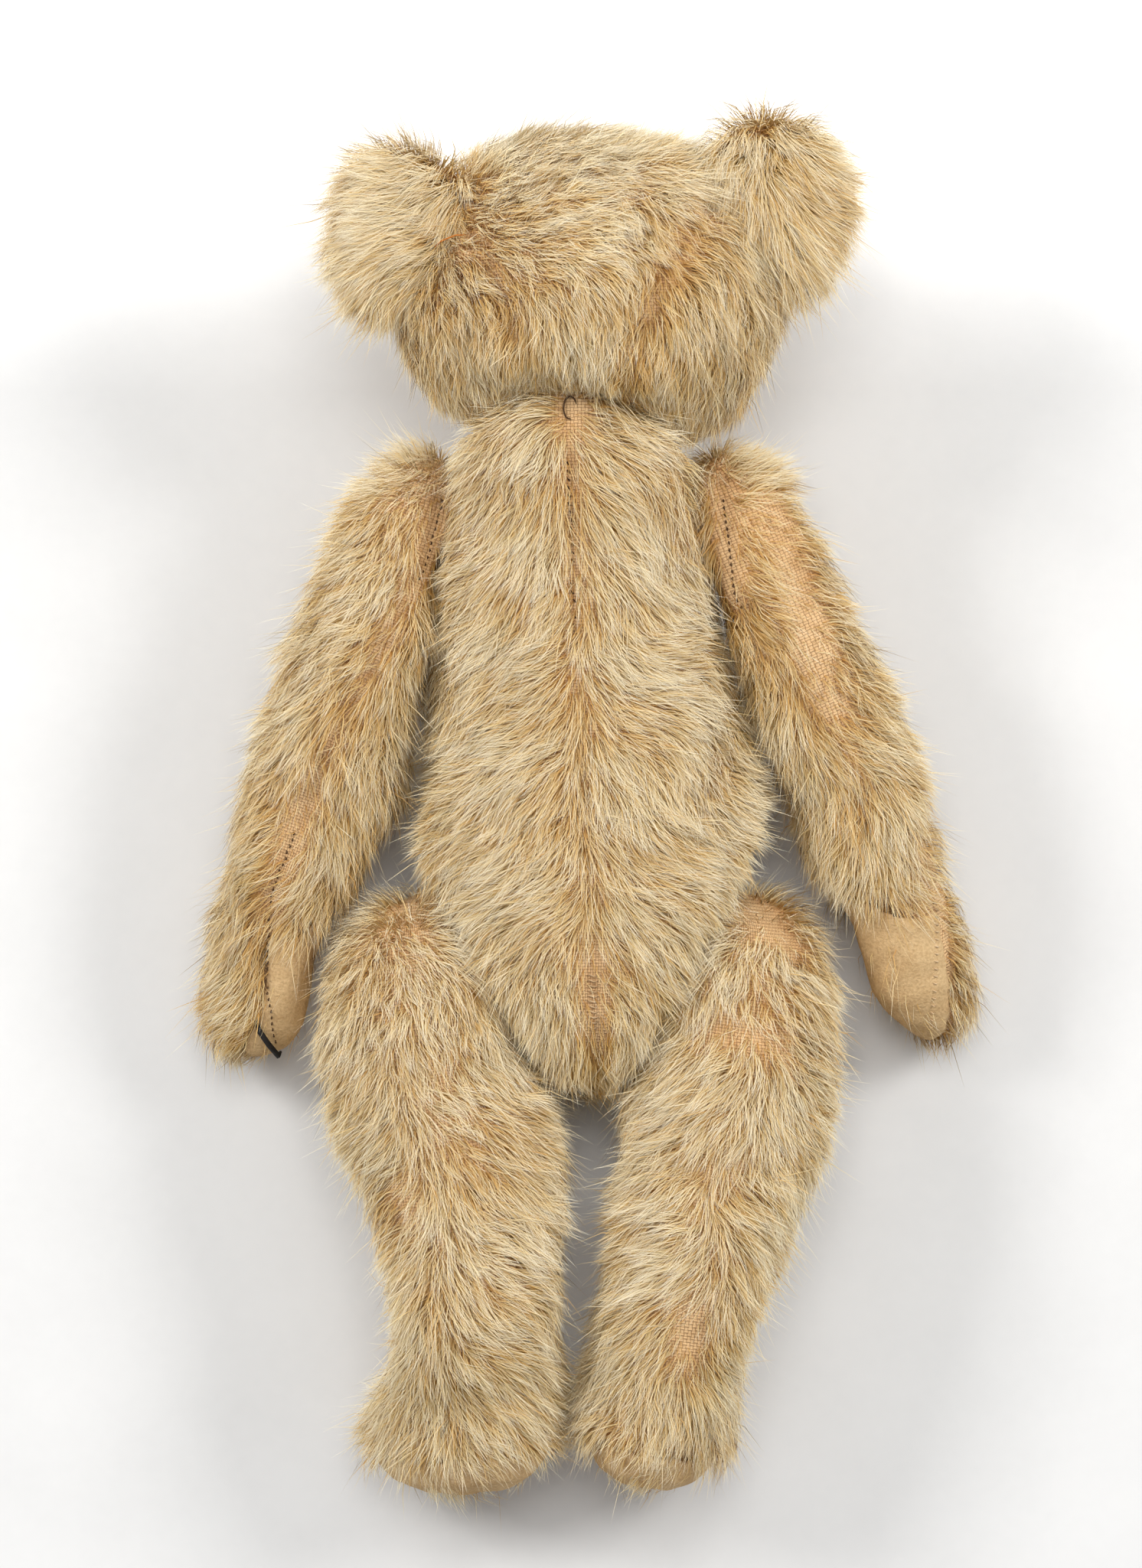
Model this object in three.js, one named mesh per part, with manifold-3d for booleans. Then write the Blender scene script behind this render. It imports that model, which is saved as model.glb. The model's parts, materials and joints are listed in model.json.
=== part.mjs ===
// Threadbare jointed teddy bear of straw-coloured mohair plush, lying on its belly.
// Millimetres. +Y runs towards the head, +Z up out of the back, and the belly rests on z = 0.
// The bear's own left side is -X. Five disc joints hold the head, the arms and the legs.

import * as THREE from 'three';
import { mergeVertices } from 'three/addons/utils/BufferGeometryUtils.js';
import Module from 'manifold-3d';

const wasm = await Module();
wasm.setup();

// ---------------------------------------------------------------- driving dimensions

const WALL = 1.5;             // woven backing with the roots of the pile
const EASE = 0.3;             // space between neighbouring pieces
const STUFFING_INSET = 2.5;   // depth of the stuffing's surface below the skin's outside
const JOINT_GAP = 1.2;        // squashed pile between two skins that face each other
const DISC_THICKNESS = 2.2;
const WASHER_THICKNESS = 0.8;
const WASHER_RADIUS = 6;
const PIN_RADIUS = 1.4;
const HOLE_RADIUS = 1.9;      // leaves the pin a running clearance
const PIN_WIRE = 0.9;         // radius of the wire in the pin's eye and curls
const EYE_RING = 2.4;         // radius of the pin's eye
const CURL_RADIUS = 2.2;
const END_WALL_SHARPNESS = 9; // odd; how closely the end walls keep to the ends of a form
const TRIM_BLOCK = 600;       // side of the blocks that trim a form to a flat face

const AROUND = 20;            // facets round a skin's outside
const RINGS = 15;
const INNER_AROUND = 14;      // facets round a skin's inside and its stuffing
const INNER_RINGS = 11;

const SHOULDER_DISC = 10;
const HIP_DISC = 11.8;
const NECK_DISC = 12;
const ARM_PAD_START = 92;     // distance from the shoulder pin at which the felt paw pad starts
const ARM_PAD_LENGTH = 70;
const ARM_PAD_MIDDLE = 110;   // distance at which the pad's seam runs along the middle of the paw
const ARM_PAD_WIDTH = 40;
const ARM_PAD_BLOCK = 40;     // how far the block that cuts the pad out reaches past the arm
const SOLE_SEAM = 120;        // distance from the hip pin at which the felt sole is sewn on

const HEAD_CENTRE = new THREE.Vector3(2, 122.5, 57);
const HEAD_TIP_BACK = 20;     // degrees that the snout leans away from straight down

// Each joint is the point in the middle of the gap where its pin crosses from torso to limb.
// facing is the direction of the pin, out of the torso, in degrees from +X.
const JOINTS = {
  neck: { point: [0, 91.2, 50], facing: 90, disc: NECK_DISC },
  shoulder_left: { point: [-32, 64, 42], facing: 162, disc: SHOULDER_DISC },
  shoulder_right: { point: [28.5, 64, 42], facing: 22, disc: SHOULDER_DISC },
  hip_left: { point: [-25.5, -36, 34], facing: 201, disc: HIP_DISC },
  hip_right: { point: [27.5, -35, 34], facing: -22, disc: HIP_DISC },
};

// ---------------------------------------------------------------- materials

const fabric = (color) => new THREE.MeshStandardMaterial({ color, roughness: 0.95, metalness: 0 });
const MATERIALS = {
  mohair: fabric(0xcdb585),
  felt: fabric(0xb59a68),
  woodWool: fabric(0xc9a765),
  thread: fabric(0x1d1a18),
  board: new THREE.MeshStandardMaterial({ color: 0x7b6143, roughness: 0.85, metalness: 0 }),
  steel: new THREE.MeshStandardMaterial({ color: 0x8c8a86, roughness: 0.45, metalness: 1 }),
  button: new THREE.MeshStandardMaterial({ color: 0x120f0e, roughness: 0.2, metalness: 0 }),
};

// ---------------------------------------------------------------- solids

function solidFrom(geometry, matrix) {
  const bare = new THREE.BufferGeometry();
  bare.setAttribute('position', geometry.attributes.position.clone());
  bare.setIndex(geometry.index);
  if (matrix) bare.applyMatrix4(matrix);
  const merged = mergeVertices(bare, 1e-4);
  return new wasm.Manifold(new wasm.Mesh({
    numProp: 3,
    vertProperties: new Float32Array(merged.attributes.position.array),
    triVerts: new Uint32Array(merged.index.array),
  }));
}

function geometryFrom(solid) {
  const { vertProperties, triVerts } = solid.getMesh();
  const geometry = new THREE.BufferGeometry();
  geometry.setAttribute('position', new THREE.BufferAttribute(new Float32Array(vertProperties), 3));
  geometry.setIndex(new THREE.BufferAttribute(new Uint32Array(triVerts), 1));
  geometry.computeVertexNormals();
  return geometry;
}

// A stuffed form: oval sections strung along a spine, closed by a point at each end.
// A station is [along, across, up, halfWidth, halfDepth], and the form runs along its own -Y.
class StuffedForm {
  constructor(stations, matrix, turns = []) {
    this.matrix = matrix;
    this.first = stations[0][0];
    this.last = stations[stations.length - 1][0];
    const girths = stations.map(([along, , , wide, deep]) => new THREE.Vector3(along, wide, deep));
    const places = stations.map(([, across, up], i) => new THREE.Vector3(across, up, turns[i] ?? 0));
    this.girth = new THREE.CatmullRomCurve3(girths);
    this.spine = new THREE.CatmullRomCurve3(places);
  }

  parameterAt(along) {
    let low = 0;
    let high = 1;
    for (let i = 0; i < 30; i += 1) {
      const middle = (low + high) / 2;
      if (this.girth.getPoint(middle).x < along) low = middle;
      else high = middle;
    }
    return (low + high) / 2;
  }

  // The point at a distance along the form, in the direction angle of the section for t.
  local(t, along, angle, inset, flatten = 1) {
    const { y: halfWidth, z: halfDepth } = this.girth.getPoint(t);
    const { x: across, y: up, z: turn } = this.spine.getPoint(t);
    const wide = Math.max(halfWidth - inset, 0.4) * Math.cos(angle) * flatten;
    const deep = Math.max(halfDepth - inset, 0.4) * Math.sin(angle) * flatten;
    return new THREE.Vector3(
      across + wide * Math.cos(turn) - deep * Math.sin(turn),
      -along,
      up + wide * Math.sin(turn) + deep * Math.cos(turn),
    );
  }

  surface(along, degrees, proud = 0) {
    const t = this.parameterAt(along);
    const angle = THREE.MathUtils.degToRad(degrees);
    return this.local(t, along, angle, -proud).applyMatrix4(this.matrix);
  }

  solid(inset = 0, around = AROUND, rings = RINGS) {
    const shape = new THREE.SphereGeometry(1, around, rings);
    const { position } = shape.attributes;
    const vertex = new THREE.Vector3();
    const endInset = Math.min(inset, WALL + EASE);
    for (let i = 0; i < position.count; i += 1) {
      vertex.fromBufferAttribute(position, i);
      const t = Math.acos(THREE.MathUtils.clamp(vertex.y, -1, 1)) / Math.PI;
      const plain = this.girth.getPoint(t).x;
      const share = (plain - this.first) / (this.last - this.first);
      const along = plain + endInset * (1 - 2 * share) ** END_WALL_SHARPNESS;
      const onAxis = Math.hypot(vertex.x, vertex.z) < 1e-5;
      const angle = Math.atan2(vertex.z, vertex.x);
      const placed = this.local(t, along, angle, inset, onAxis ? 0 : 1);
      position.setXYZ(i, placed.x, placed.y, placed.z);
    }
    return solidFrom(shape, this.matrix);
  }
}

// A block that fills everything beyond a plane, less an inset towards the kept side.
function beyond(point, direction, inset = 0) {
  const block = new THREE.BoxGeometry(TRIM_BLOCK, TRIM_BLOCK, TRIM_BLOCK);
  block.translate(TRIM_BLOCK / 2 - inset, 0, 0);
  const turn = new THREE.Quaternion().setFromUnitVectors(new THREE.Vector3(1, 0, 0), direction);
  const matrix = new THREE.Matrix4().compose(point, turn, new THREE.Vector3(1, 1, 1));
  return solidFrom(block, matrix);
}

function jointMatrix(joint) {
  const matrix = new THREE.Matrix4().makeRotationZ(THREE.MathUtils.degToRad(joint.facing));
  return matrix.setPosition(...joint.point);
}

function facingOf(joint) {
  const angle = THREE.MathUtils.degToRad(joint.facing);
  return new THREE.Vector3(Math.cos(angle), Math.sin(angle), 0);
}

// A round rod on the joint's pin line, between two distances from the middle of the gap.
function rodAt(joint, radius, from, to, sides = 12) {
  const rod = new THREE.CylinderGeometry(radius, radius, to - from, sides);
  rod.rotateZ(-Math.PI / 2);
  rod.translate((from + to) / 2, 0, 0);
  return solidFrom(rod, jointMatrix(joint));
}

function ringAt(joint, outer, from, to, sides) {
  const hole = [HOLE_RADIUS, from];
  const corners = [hole, [outer, from], [outer, to], [HOLE_RADIUS, to], hole];
  const profile = corners.map(([x, y]) => new THREE.Vector2(x, y));
  const ring = new THREE.LatheGeometry(profile, sides);
  ring.rotateZ(-Math.PI / 2);
  return solidFrom(ring, jointMatrix(joint));
}

// ---------------------------------------------------------------- disc joints

const DISC_FROM = JOINT_GAP / 2 + WALL + EASE;
const DISC_TO = DISC_FROM + DISC_THICKNESS;
const WASHER_FROM = DISC_TO + EASE;
const WASHER_TO = WASHER_FROM + WASHER_THICKNESS;
const PIN_SEAT = WASHER_TO + EASE;
const PIN_EYE_REACH = PIN_SEAT + 2 * (EYE_RING + PIN_WIRE);
const PIN_CURL_REACH = PIN_SEAT + CURL_RADIUS + 3 * PIN_WIRE;

function wireAlong(points, radius, steps) {
  const section = new THREE.Shape().absarc(0, 0, radius, 0, 2 * Math.PI);
  const extrudePath = new THREE.CatmullRomCurve3(points);
  return new THREE.ExtrudeGeometry(section, { extrudePath, steps, curveSegments: 3 });
}

// The legs of the split pin curl apart and back on to the washer inside the torso.
function curledLeg(side) {
  const start = -PIN_SEAT - 2 * PIN_WIRE;
  const points = [];
  for (let degrees = 0; degrees <= 200; degrees += 40) {
    const angle = THREE.MathUtils.degToRad(degrees);
    const sideways = side * CURL_RADIUS * (1 - Math.cos(angle));
    points.push(new THREE.Vector3(start - CURL_RADIUS * Math.sin(angle), 0, sideways));
  }
  return wireAlong(points, PIN_WIRE, 7);
}

function pinEye() {
  const eye = new THREE.TorusGeometry(EYE_RING, PIN_WIRE, 5, 9);
  eye.rotateX(Math.PI / 2);
  eye.translate(PIN_SEAT + EYE_RING + PIN_WIRE, 0, 0);
  return eye;
}

function splitPin(joint) {
  const matrix = jointMatrix(joint);
  const shank = rodAt(joint, PIN_RADIUS, -PIN_SEAT - 2 * PIN_WIRE, PIN_SEAT + PIN_WIRE, 8);
  return shank
    .add(solidFrom(pinEye(), matrix))
    .add(solidFrom(curledLeg(1), matrix))
    .add(solidFrom(curledLeg(-1), matrix));
}

// The room that the discs, the washers and the pin take up in the stuffing on each side.
function pocket(joint, sign) {
  const reach = sign > 0 ? PIN_EYE_REACH : PIN_CURL_REACH;
  const span = (radius, to) => {
    const [from, end] = sign > 0 ? [0, to] : [-to, 0];
    return rodAt(joint, radius, from, end, 12);
  };
  return span(joint.disc + 2 * EASE, DISC_TO + EASE)
    .add(span(WASHER_RADIUS + 2 * EASE, WASHER_TO + EASE))
    .add(span(WASHER_RADIUS, reach + EASE));
}

// ---------------------------------------------------------------- forms of the stuffed pieces

// Stations are [along, across, up, halfWidth, halfDepth]. The torso runs from the neck at
// y = +98 to the crotch at y = -65, so its along is minus the bear's own y.
const TORSO_STATIONS = [
  [-98, -1, 50, 0, 0],
  [-96, -1, 50, 9, 9],
  [-89, -1, 49, 19.5, 18.5],
  [-79, -2, 46, 28, 24],
  [-63, -2, 41, 35.5, 28.5],
  [-40, -1, 36, 33.5, 32],
  [-15, 2, 33, 36.5, 34],
  [6, 4, 32, 40.5, 34],
  [26, 3.5, 33, 38, 32],
  [44, 2.5, 35, 27, 28],
  [57, 1.5, 37, 16.5, 20],
  [63.5, 1, 38, 8, 10],
  [65, 1, 38, 0, 0],
];

// The head runs from its back to the tip of the snout.
const HEAD_STATIONS = [
  [-38, 0, 0, 0, 0],
  [-36.5, 0, 0, 12, 10],
  [-31, 0, 0, 24, 21],
  [-20, 0, 0, 36, 31],
  [-5, 0, 0, 43, 36.5],
  [10, 0, 0, 43, 36],
  [22, 0, 0.5, 35, 31],
  [31, 0, 2.5, 24.5, 23],
  [40, 0, 4, 18, 17],
  [49, 0, 4.5, 14.5, 13.5],
  [54, 0, 4.5, 9, 8.5],
  [56, 0, 4.5, 0, 0],
];

// An arm runs down from its shoulder pin. across is counted outwards from the flank.
const ARM_STATIONS = [
  [-16, 10, 0, 0, 0],
  [-13.5, 10, 0, 8, 9.5],
  [-4, 9.5, -0.5, 13.8, 16],
  [12, 9.5, -1, 15, 17.5],
  [36, 11, -3, 14.8, 18],
  [62, 12, -8, 15, 17],
  [88, 12.5, -13, 12.6, 15.5],
  [106, 12.5, -18, 11.2, 15],
  [121, 12, -22.5, 9.6, 14],
  [131, 11.5, -25.5, 6.5, 9.5],
  [135, 11, -26.5, 0, 0],
];

// A leg runs down from its hip pin, past the ankle, to a foot with a crowned sole.
const LEG_GIRTHS = [
  [-17, 0, 0],
  [-14.5, 9, 10],
  [-5, 17, 19.5],
  [12, 21, 24],
  [30, 21.5, 24.5],
  [50, 20, 22.5],
  [70, 17, 19.5],
  [86, 15, 18],
  [98, 15, 20],
  [110, 16, 27],
  [119, 16, 29],
  [125, 13.5, 26],
  [129, 7.5, 16],
  [130, 0, 0],
];

const ANKLE = 7;              // the station of LEG_GIRTHS at which the foot starts to turn
const LEG_SPINES = {
  left: {
    across: [13, 13, 13, 13.5, 13.5, 9, 8, 9, 11, 15, 17, 17, 17, 17],
    up: [0, 0, 0, 0, 1, 4, 9, 11, 6, -5, -7.5, -7.5, -7.5, -7.5],
    footTurn: 30,
    lean: 6,
    stoutness: 1.1,
  },
  right: {
    across: [12, 12, 12, 12.5, 15.5, 15.5, 13, 12, 12, 12.5, 13, 13, 13, 13],
    up: [0, 0, 0, 0, 1, 4, 9, 11, 6, -3.5, -5.5, -5.5, -5.5, -5.5],
    footTurn: 6,
    lean: -11,
    stoutness: 1,
  },
};

function formMatrix(joint, leanDegrees) {
  const matrix = new THREE.Matrix4().makeRotationZ(THREE.MathUtils.degToRad(leanDegrees));
  return matrix.setPosition(...joint.point);
}

function mirrored(stations, side) {
  return stations.map(([along, across, ...rest]) => [along, side * across, ...rest]);
}

function legForm(name, side) {
  const { across, up, footTurn, lean, stoutness } = LEG_SPINES[name];
  const stations = LEG_GIRTHS.map(([along, wide, deep], i) => (
    [along, side * across[i], up[i], wide * stoutness, deep]
  ));
  const turns = LEG_GIRTHS.map((_, i) => {
    const share = THREE.MathUtils.smoothstep(i, ANKLE, ANKLE + 2);
    return side * THREE.MathUtils.degToRad(footTurn) * share;
  });
  return new StuffedForm(stations, formMatrix(JOINTS[`hip_${name}`], lean), turns);
}

function headMatrix() {
  const tilt = THREE.MathUtils.degToRad(90 + HEAD_TIP_BACK);
  return new THREE.Matrix4().makeRotationX(tilt).setPosition(HEAD_CENTRE);
}

const torsoForm = new StuffedForm(TORSO_STATIONS, new THREE.Matrix4());
const headForm = new StuffedForm(HEAD_STATIONS, headMatrix());
const LIMBS = [
  { name: 'arm_left', side: -1, joint: 'shoulder_left', lean: -18, padTurn: 8 },
  { name: 'arm_right', side: 1, joint: 'shoulder_right', lean: 22, padTurn: 34 },
  { name: 'leg_left', side: -1, joint: 'hip_left' },
  { name: 'leg_right', side: 1, joint: 'hip_right' },
];
for (const limb of LIMBS) {
  const [kind, name] = limb.name.split('_');
  limb.kind = kind;
  limb.form = kind === 'arm'
    ? new StuffedForm(mirrored(ARM_STATIONS, limb.side), formMatrix(JOINTS[limb.joint], limb.lean))
    : legForm(name, limb.side);
}

// ---------------------------------------------------------------- skins and stuffing

// The flat faces that a form is pressed to at its joints, and the torso's on the ground.
function trimmed(solid, joints, sign, inset) {
  let result = solid;
  for (const joint of joints) {
    const out = facingOf(joint).multiplyScalar(sign);
    const face = new THREE.Vector3(...joint.point).addScaledVector(out, -JOINT_GAP / 2);
    result = result.subtract(beyond(face, out, inset));
  }
  return result;
}

function grounded(solid, inset) {
  const floor = new THREE.Vector3(0, 0, 0);
  return solid.subtract(beyond(floor, new THREE.Vector3(0, 0, -1), inset));
}

// The torso lies on the inner side of each joint, at sign 1, and a limb on the outer, at -1.
function formAt(form, joints, sign, inset) {
  const whole = inset === 0 ? form.solid(inset) : form.solid(inset, INNER_AROUND, INNER_RINGS);
  return grounded(trimmed(whole, joints, sign, inset), inset);
}

function skinOf(form, joints, sign) {
  let skin = formAt(form, joints, sign, 0).subtract(formAt(form, joints, sign, WALL));
  for (const joint of joints) {
    skin = skin.subtract(rodAt(joint, HOLE_RADIUS, -DISC_TO, DISC_TO, 12));
  }
  return skin;
}

function stuffingOf(form, joints, sign) {
  let stuffing = formAt(form, joints, sign, STUFFING_INSET);
  for (const joint of joints) stuffing = stuffing.subtract(pocket(joint, -sign));
  return stuffing;
}

// ---------------------------------------------------------------- felt pads

// The paw pad is let into the inner side of the arm, from past the wrist to the tip.
function pawPadBlock(limb, margin) {
  const outline = new THREE.Shape();
  const half = ARM_PAD_WIDTH / 2 + margin;
  outline.absellipse(0, 0, ARM_PAD_LENGTH / 2 + margin, half, 0, 2 * Math.PI, false, 0);
  const cut = { depth: ARM_PAD_BLOCK, bevelEnabled: false, curveSegments: 7 };
  const block = new THREE.ExtrudeGeometry(outline, cut);
  const middle = limb.form.local(limb.form.parameterAt(ARM_PAD_MIDDLE), 0, 0, 0, 0);
  const turn = THREE.MathUtils.degToRad(limb.padTurn);
  const place = new THREE.Matrix4()
    .makeTranslation(middle.x, -ARM_PAD_START - ARM_PAD_LENGTH / 2, middle.z)
    .multiply(new THREE.Matrix4().makeRotationY(-limb.side * (Math.PI / 2 - turn)))
    .multiply(new THREE.Matrix4().makeRotationZ(Math.PI / 2))
    .multiply(new THREE.Matrix4().makeTranslation(0, 0, -margin));
  return solidFrom(block, place.premultiply(limb.form.matrix));
}

// The sole closes the foot below its seam.
function soleBlock(limb, margin) {
  const seam = new THREE.Vector3(0, -SOLE_SEAM + margin, 0).applyMatrix4(limb.form.matrix);
  const down = new THREE.Vector3(0, -1, 0).transformDirection(limb.form.matrix);
  return beyond(seam, down);
}

// ---------------------------------------------------------------- assembly

const bear = new THREE.Group();

function bodyGroup(joint) {
  const group = new THREE.Group();
  if (joint) group.position.set(...joint.point);
  bear.add(group);
  return group;
}

function addPart(group, name, solid, material) {
  const { x, y, z } = group.position;
  const geometry = geometryFrom(solid);
  geometry.translate(-x, -y, -z);
  const mesh = new THREE.Mesh(geometry, material);
  mesh.name = name;
  group.add(mesh);
}

function addDiscAndWasher(group, joint, name, sign) {
  const span = (from, to) => (sign > 0 ? [from, to] : [-to, -from]);
  const disc = ringAt(joint, joint.disc, ...span(DISC_FROM, DISC_TO), 16);
  const washer = ringAt(joint, WASHER_RADIUS, ...span(WASHER_FROM, WASHER_TO), 10);
  addPart(group, `${name}_disc`, disc, MATERIALS.board);
  addPart(group, `${name}_washer`, washer, MATERIALS.steel);
}

const torsoGroup = bodyGroup();
const allJoints = Object.values(JOINTS);
addPart(torsoGroup, 'torso_skin', skinOf(torsoForm, allJoints, 1), MATERIALS.mohair);
addPart(torsoGroup, 'torso_stuffing', stuffingOf(torsoForm, allJoints, 1), MATERIALS.woodWool);
for (const [name, joint] of Object.entries(JOINTS)) {
  addDiscAndWasher(torsoGroup, joint, `${name}_torso`, -1);
  addPart(torsoGroup, `${name}_pin`, splitPin(joint), MATERIALS.steel);
}

for (const limb of LIMBS) {
  const joint = JOINTS[limb.joint];
  const group = bodyGroup(joint);
  const whole = skinOf(limb.form, [joint], -1);
  const padBlock = limb.kind === 'arm' ? pawPadBlock : soleBlock;
  const padName = limb.kind === 'arm' ? 'paw_pad' : 'sole';
  const side = limb.name.split('_')[1];
  addPart(group, `${limb.name}_skin`, whole.subtract(padBlock(limb, EASE)), MATERIALS.mohair);
  addPart(group, `${padName}_${side}`, whole.intersect(padBlock(limb, 0)), MATERIALS.felt);
  addPart(group, `${limb.name}_stuffing`, stuffingOf(limb.form, [joint], -1), MATERIALS.woodWool);
  addDiscAndWasher(group, joint, limb.name, 1);
}

// ---------------------------------------------------------------- head

const headGroup = bodyGroup(JOINTS.neck);
const aroundHead = headForm.solid(-EASE);
addPart(headGroup, 'head_skin', skinOf(headForm, [JOINTS.neck], -1), MATERIALS.mohair);
addPart(headGroup, 'head_stuffing', stuffingOf(headForm, [JOINTS.neck], -1), MATERIALS.woodWool);
addDiscAndWasher(headGroup, JOINTS.neck, 'head', 1);

const EAR_RADIUS = 16.5;
const EAR_THICKNESS = 6;
const EAR_DISH = 4;
const EARS = {
  left: { centre: [-42, 139.5, 68], tilt: -14 },
  right: { centre: [44.5, 148, 66], tilt: 14 },
};

// A dished disc, hollow towards the face, sewn to the head along a nearly upright line.
function ear({ centre, tilt }) {
  const profile = [];
  const steps = 5;
  for (let i = 0; i <= 2 * steps; i += 1) {
    const angle = (i / steps) * (Math.PI / 2);
    const radius = EAR_RADIUS * Math.sin(angle);
    const dish = EAR_DISH * (1 - (radius / EAR_RADIUS) ** 2);
    profile.push(new THREE.Vector2(Math.max(radius, 0), dish + (EAR_THICKNESS / 2) * -Math.cos(angle)));
  }
  profile[0].x = 0;
  profile[2 * steps].x = 0;
  const geometry = new THREE.LatheGeometry(profile, 20);
  geometry.rotateX(Math.PI / 2);
  geometry.rotateY(THREE.MathUtils.degToRad(tilt));
  geometry.translate(...centre);
  return solidFrom(geometry).subtract(aroundHead);
}
addPart(headGroup, 'ear_left', ear(EARS.left), MATERIALS.mohair);
addPart(headGroup, 'ear_right', ear(EARS.right), MATERIALS.mohair);

const EYE_ALONG = 30;           // distance of the eyes from the head's centre along the snout
const EYE_ANGLES = { left: -125, right: -55 };
const EYE_RADIUS = 4.2;
const NOSE_ALONG = 53;
const NOSE_RADIUS = 5;
const NOSE_SHAPE = [1.7, 1.1, 1];

// A round knob let into the head's surface.
function knobAt(along, angle, radius, shape) {
  const point = headForm.surface(along, angle);
  const ball = new THREE.SphereGeometry(radius, 12, 8);
  ball.scale(...shape);
  ball.translate(point.x, point.y, point.z);
  return solidFrom(ball).subtract(aroundHead);
}

for (const [side, angle] of Object.entries(EYE_ANGLES)) {
  const eye = knobAt(EYE_ALONG, angle, EYE_RADIUS, [1, 1, 1]);
  addPart(headGroup, `eye_${side}`, eye, MATERIALS.button);
}
addPart(headGroup, 'nose', knobAt(NOSE_ALONG, -90, NOSE_RADIUS, NOSE_SHAPE), MATERIALS.thread);

const THREAD = 0.7;
const threadAlong = (points, steps) => solidFrom(wireAlong(points, THREAD, steps));
const mouthPoint = (along, angle) => headForm.surface(along, angle, THREAD + EASE + 0.2);
const tipPoint = (up) => new THREE.Vector3(0, -57.8, up).applyMatrix4(headForm.matrix);
const lipLine = [tipPoint(0.5), tipPoint(5), mouthPoint(55, 90), mouthPoint(52, 90), mouthPoint(48, 90)];
const smile = [[44, 38], [46.5, 62], [48, 90], [46.5, 118], [44, 142]];
const smileLine = smile.map(([along, angle]) => mouthPoint(along, angle));
const mouth = threadAlong(lipLine, 6).add(threadAlong(smileLine, 9)).subtract(aroundHead);
addPart(headGroup, 'mouth', mouth, MATERIALS.thread);

// The origin is under the middle of the bear's box.
const middle = new THREE.Box3().setFromObject(bear).getCenter(new THREE.Vector3());
bear.position.set(-middle.x, -middle.y, 0);

export default bear;
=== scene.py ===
# %% [markdown]
# # A threadbare jointed teddy bear, lying on its front
#
# The bear is a stuffed toy of straw-coloured mohair plush with felt pads and five disc joints.
# It lies face down, so the back of the head, the back seam, the arms and the heels are what show.
# Mohair plush is a plain woven cloth with long lustrous fibres standing out of it, and after a
# century the pile is rubbed off in places and the peach-coloured weave shows through.
#
# There are three ways to make such a coat.
# A bump map on the smooth limbs is cheap, but the outline stays hard and the light never gets
# in between the locks.
# Crossed cards with a picture of hair on them need an image.
# Real ribbons of fibre, thousands to each limb, give the soft outline, the partings and the worn
# places by themselves, so that is the way taken here: a woven skin for every limb, and a separate
# pile of ribbons that grows out of it.

import json
import math

import bpy
import numpy as np
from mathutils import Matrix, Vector
from mathutils.bvhtree import BVHTree
from mathutils.kdtree import KDTree

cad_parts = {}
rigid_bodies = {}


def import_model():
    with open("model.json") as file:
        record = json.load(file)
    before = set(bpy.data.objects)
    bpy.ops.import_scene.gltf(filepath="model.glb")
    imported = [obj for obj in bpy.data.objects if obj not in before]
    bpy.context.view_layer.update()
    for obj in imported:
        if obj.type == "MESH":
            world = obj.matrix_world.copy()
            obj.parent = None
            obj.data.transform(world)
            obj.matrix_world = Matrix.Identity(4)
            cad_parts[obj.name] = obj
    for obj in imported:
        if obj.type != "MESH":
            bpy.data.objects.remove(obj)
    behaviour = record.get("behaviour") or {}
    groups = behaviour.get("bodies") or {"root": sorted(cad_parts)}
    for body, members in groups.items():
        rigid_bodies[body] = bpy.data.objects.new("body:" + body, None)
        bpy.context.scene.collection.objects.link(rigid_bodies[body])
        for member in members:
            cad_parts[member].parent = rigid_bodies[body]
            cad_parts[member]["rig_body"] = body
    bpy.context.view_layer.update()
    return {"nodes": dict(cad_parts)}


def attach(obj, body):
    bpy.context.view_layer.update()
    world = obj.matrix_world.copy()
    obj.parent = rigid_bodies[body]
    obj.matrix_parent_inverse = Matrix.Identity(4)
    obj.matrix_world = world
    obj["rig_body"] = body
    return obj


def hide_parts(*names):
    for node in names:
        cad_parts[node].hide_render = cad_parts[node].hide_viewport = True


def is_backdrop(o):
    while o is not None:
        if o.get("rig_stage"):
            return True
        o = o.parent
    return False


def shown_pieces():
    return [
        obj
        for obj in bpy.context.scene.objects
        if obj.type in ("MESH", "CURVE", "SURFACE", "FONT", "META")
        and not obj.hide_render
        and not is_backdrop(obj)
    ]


for leftover in list(bpy.data.objects):
    bpy.data.objects.remove(leftover)
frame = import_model()
nodes = frame["nodes"]
MM = 0.001

# %% [markdown]
# ## Small helpers
#
# All sizes below are in millimetres in the row frame and are turned into metres only when a mesh
# is written.
# `drift` is a smooth random field: a sum of cosines with random directions.
# It bends the nap, thins the pile and dents the skin, always with the same seed.


# %% Helpers for meshes and random fields
def unit(v):
    """Vectors brought to the length of one."""
    return v / np.maximum(np.linalg.norm(v, axis=-1, keepdims=True), 1e-9)


def drift(points, wavelength, seed, waves=20):
    """A smooth random field of about -1 to 1 at the given points."""
    picker = np.random.default_rng(seed)
    way = unit(picker.normal(size=(waves, 3)))
    pace = 2 * math.pi / (wavelength * picker.uniform(0.7, 1.6, waves))
    phase = picker.uniform(0, 2 * math.pi, waves)
    return np.cos(points @ (way * pace[:, None]).T + phase).sum(1) / math.sqrt(waves)


def points_of(obj):
    """The vertices of an object, in millimetres."""
    co = np.zeros(len(obj.data.vertices) * 3, np.float32)
    obj.data.vertices.foreach_get("co", co)
    return co.reshape(-1, 3).astype(float) / MM


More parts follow.
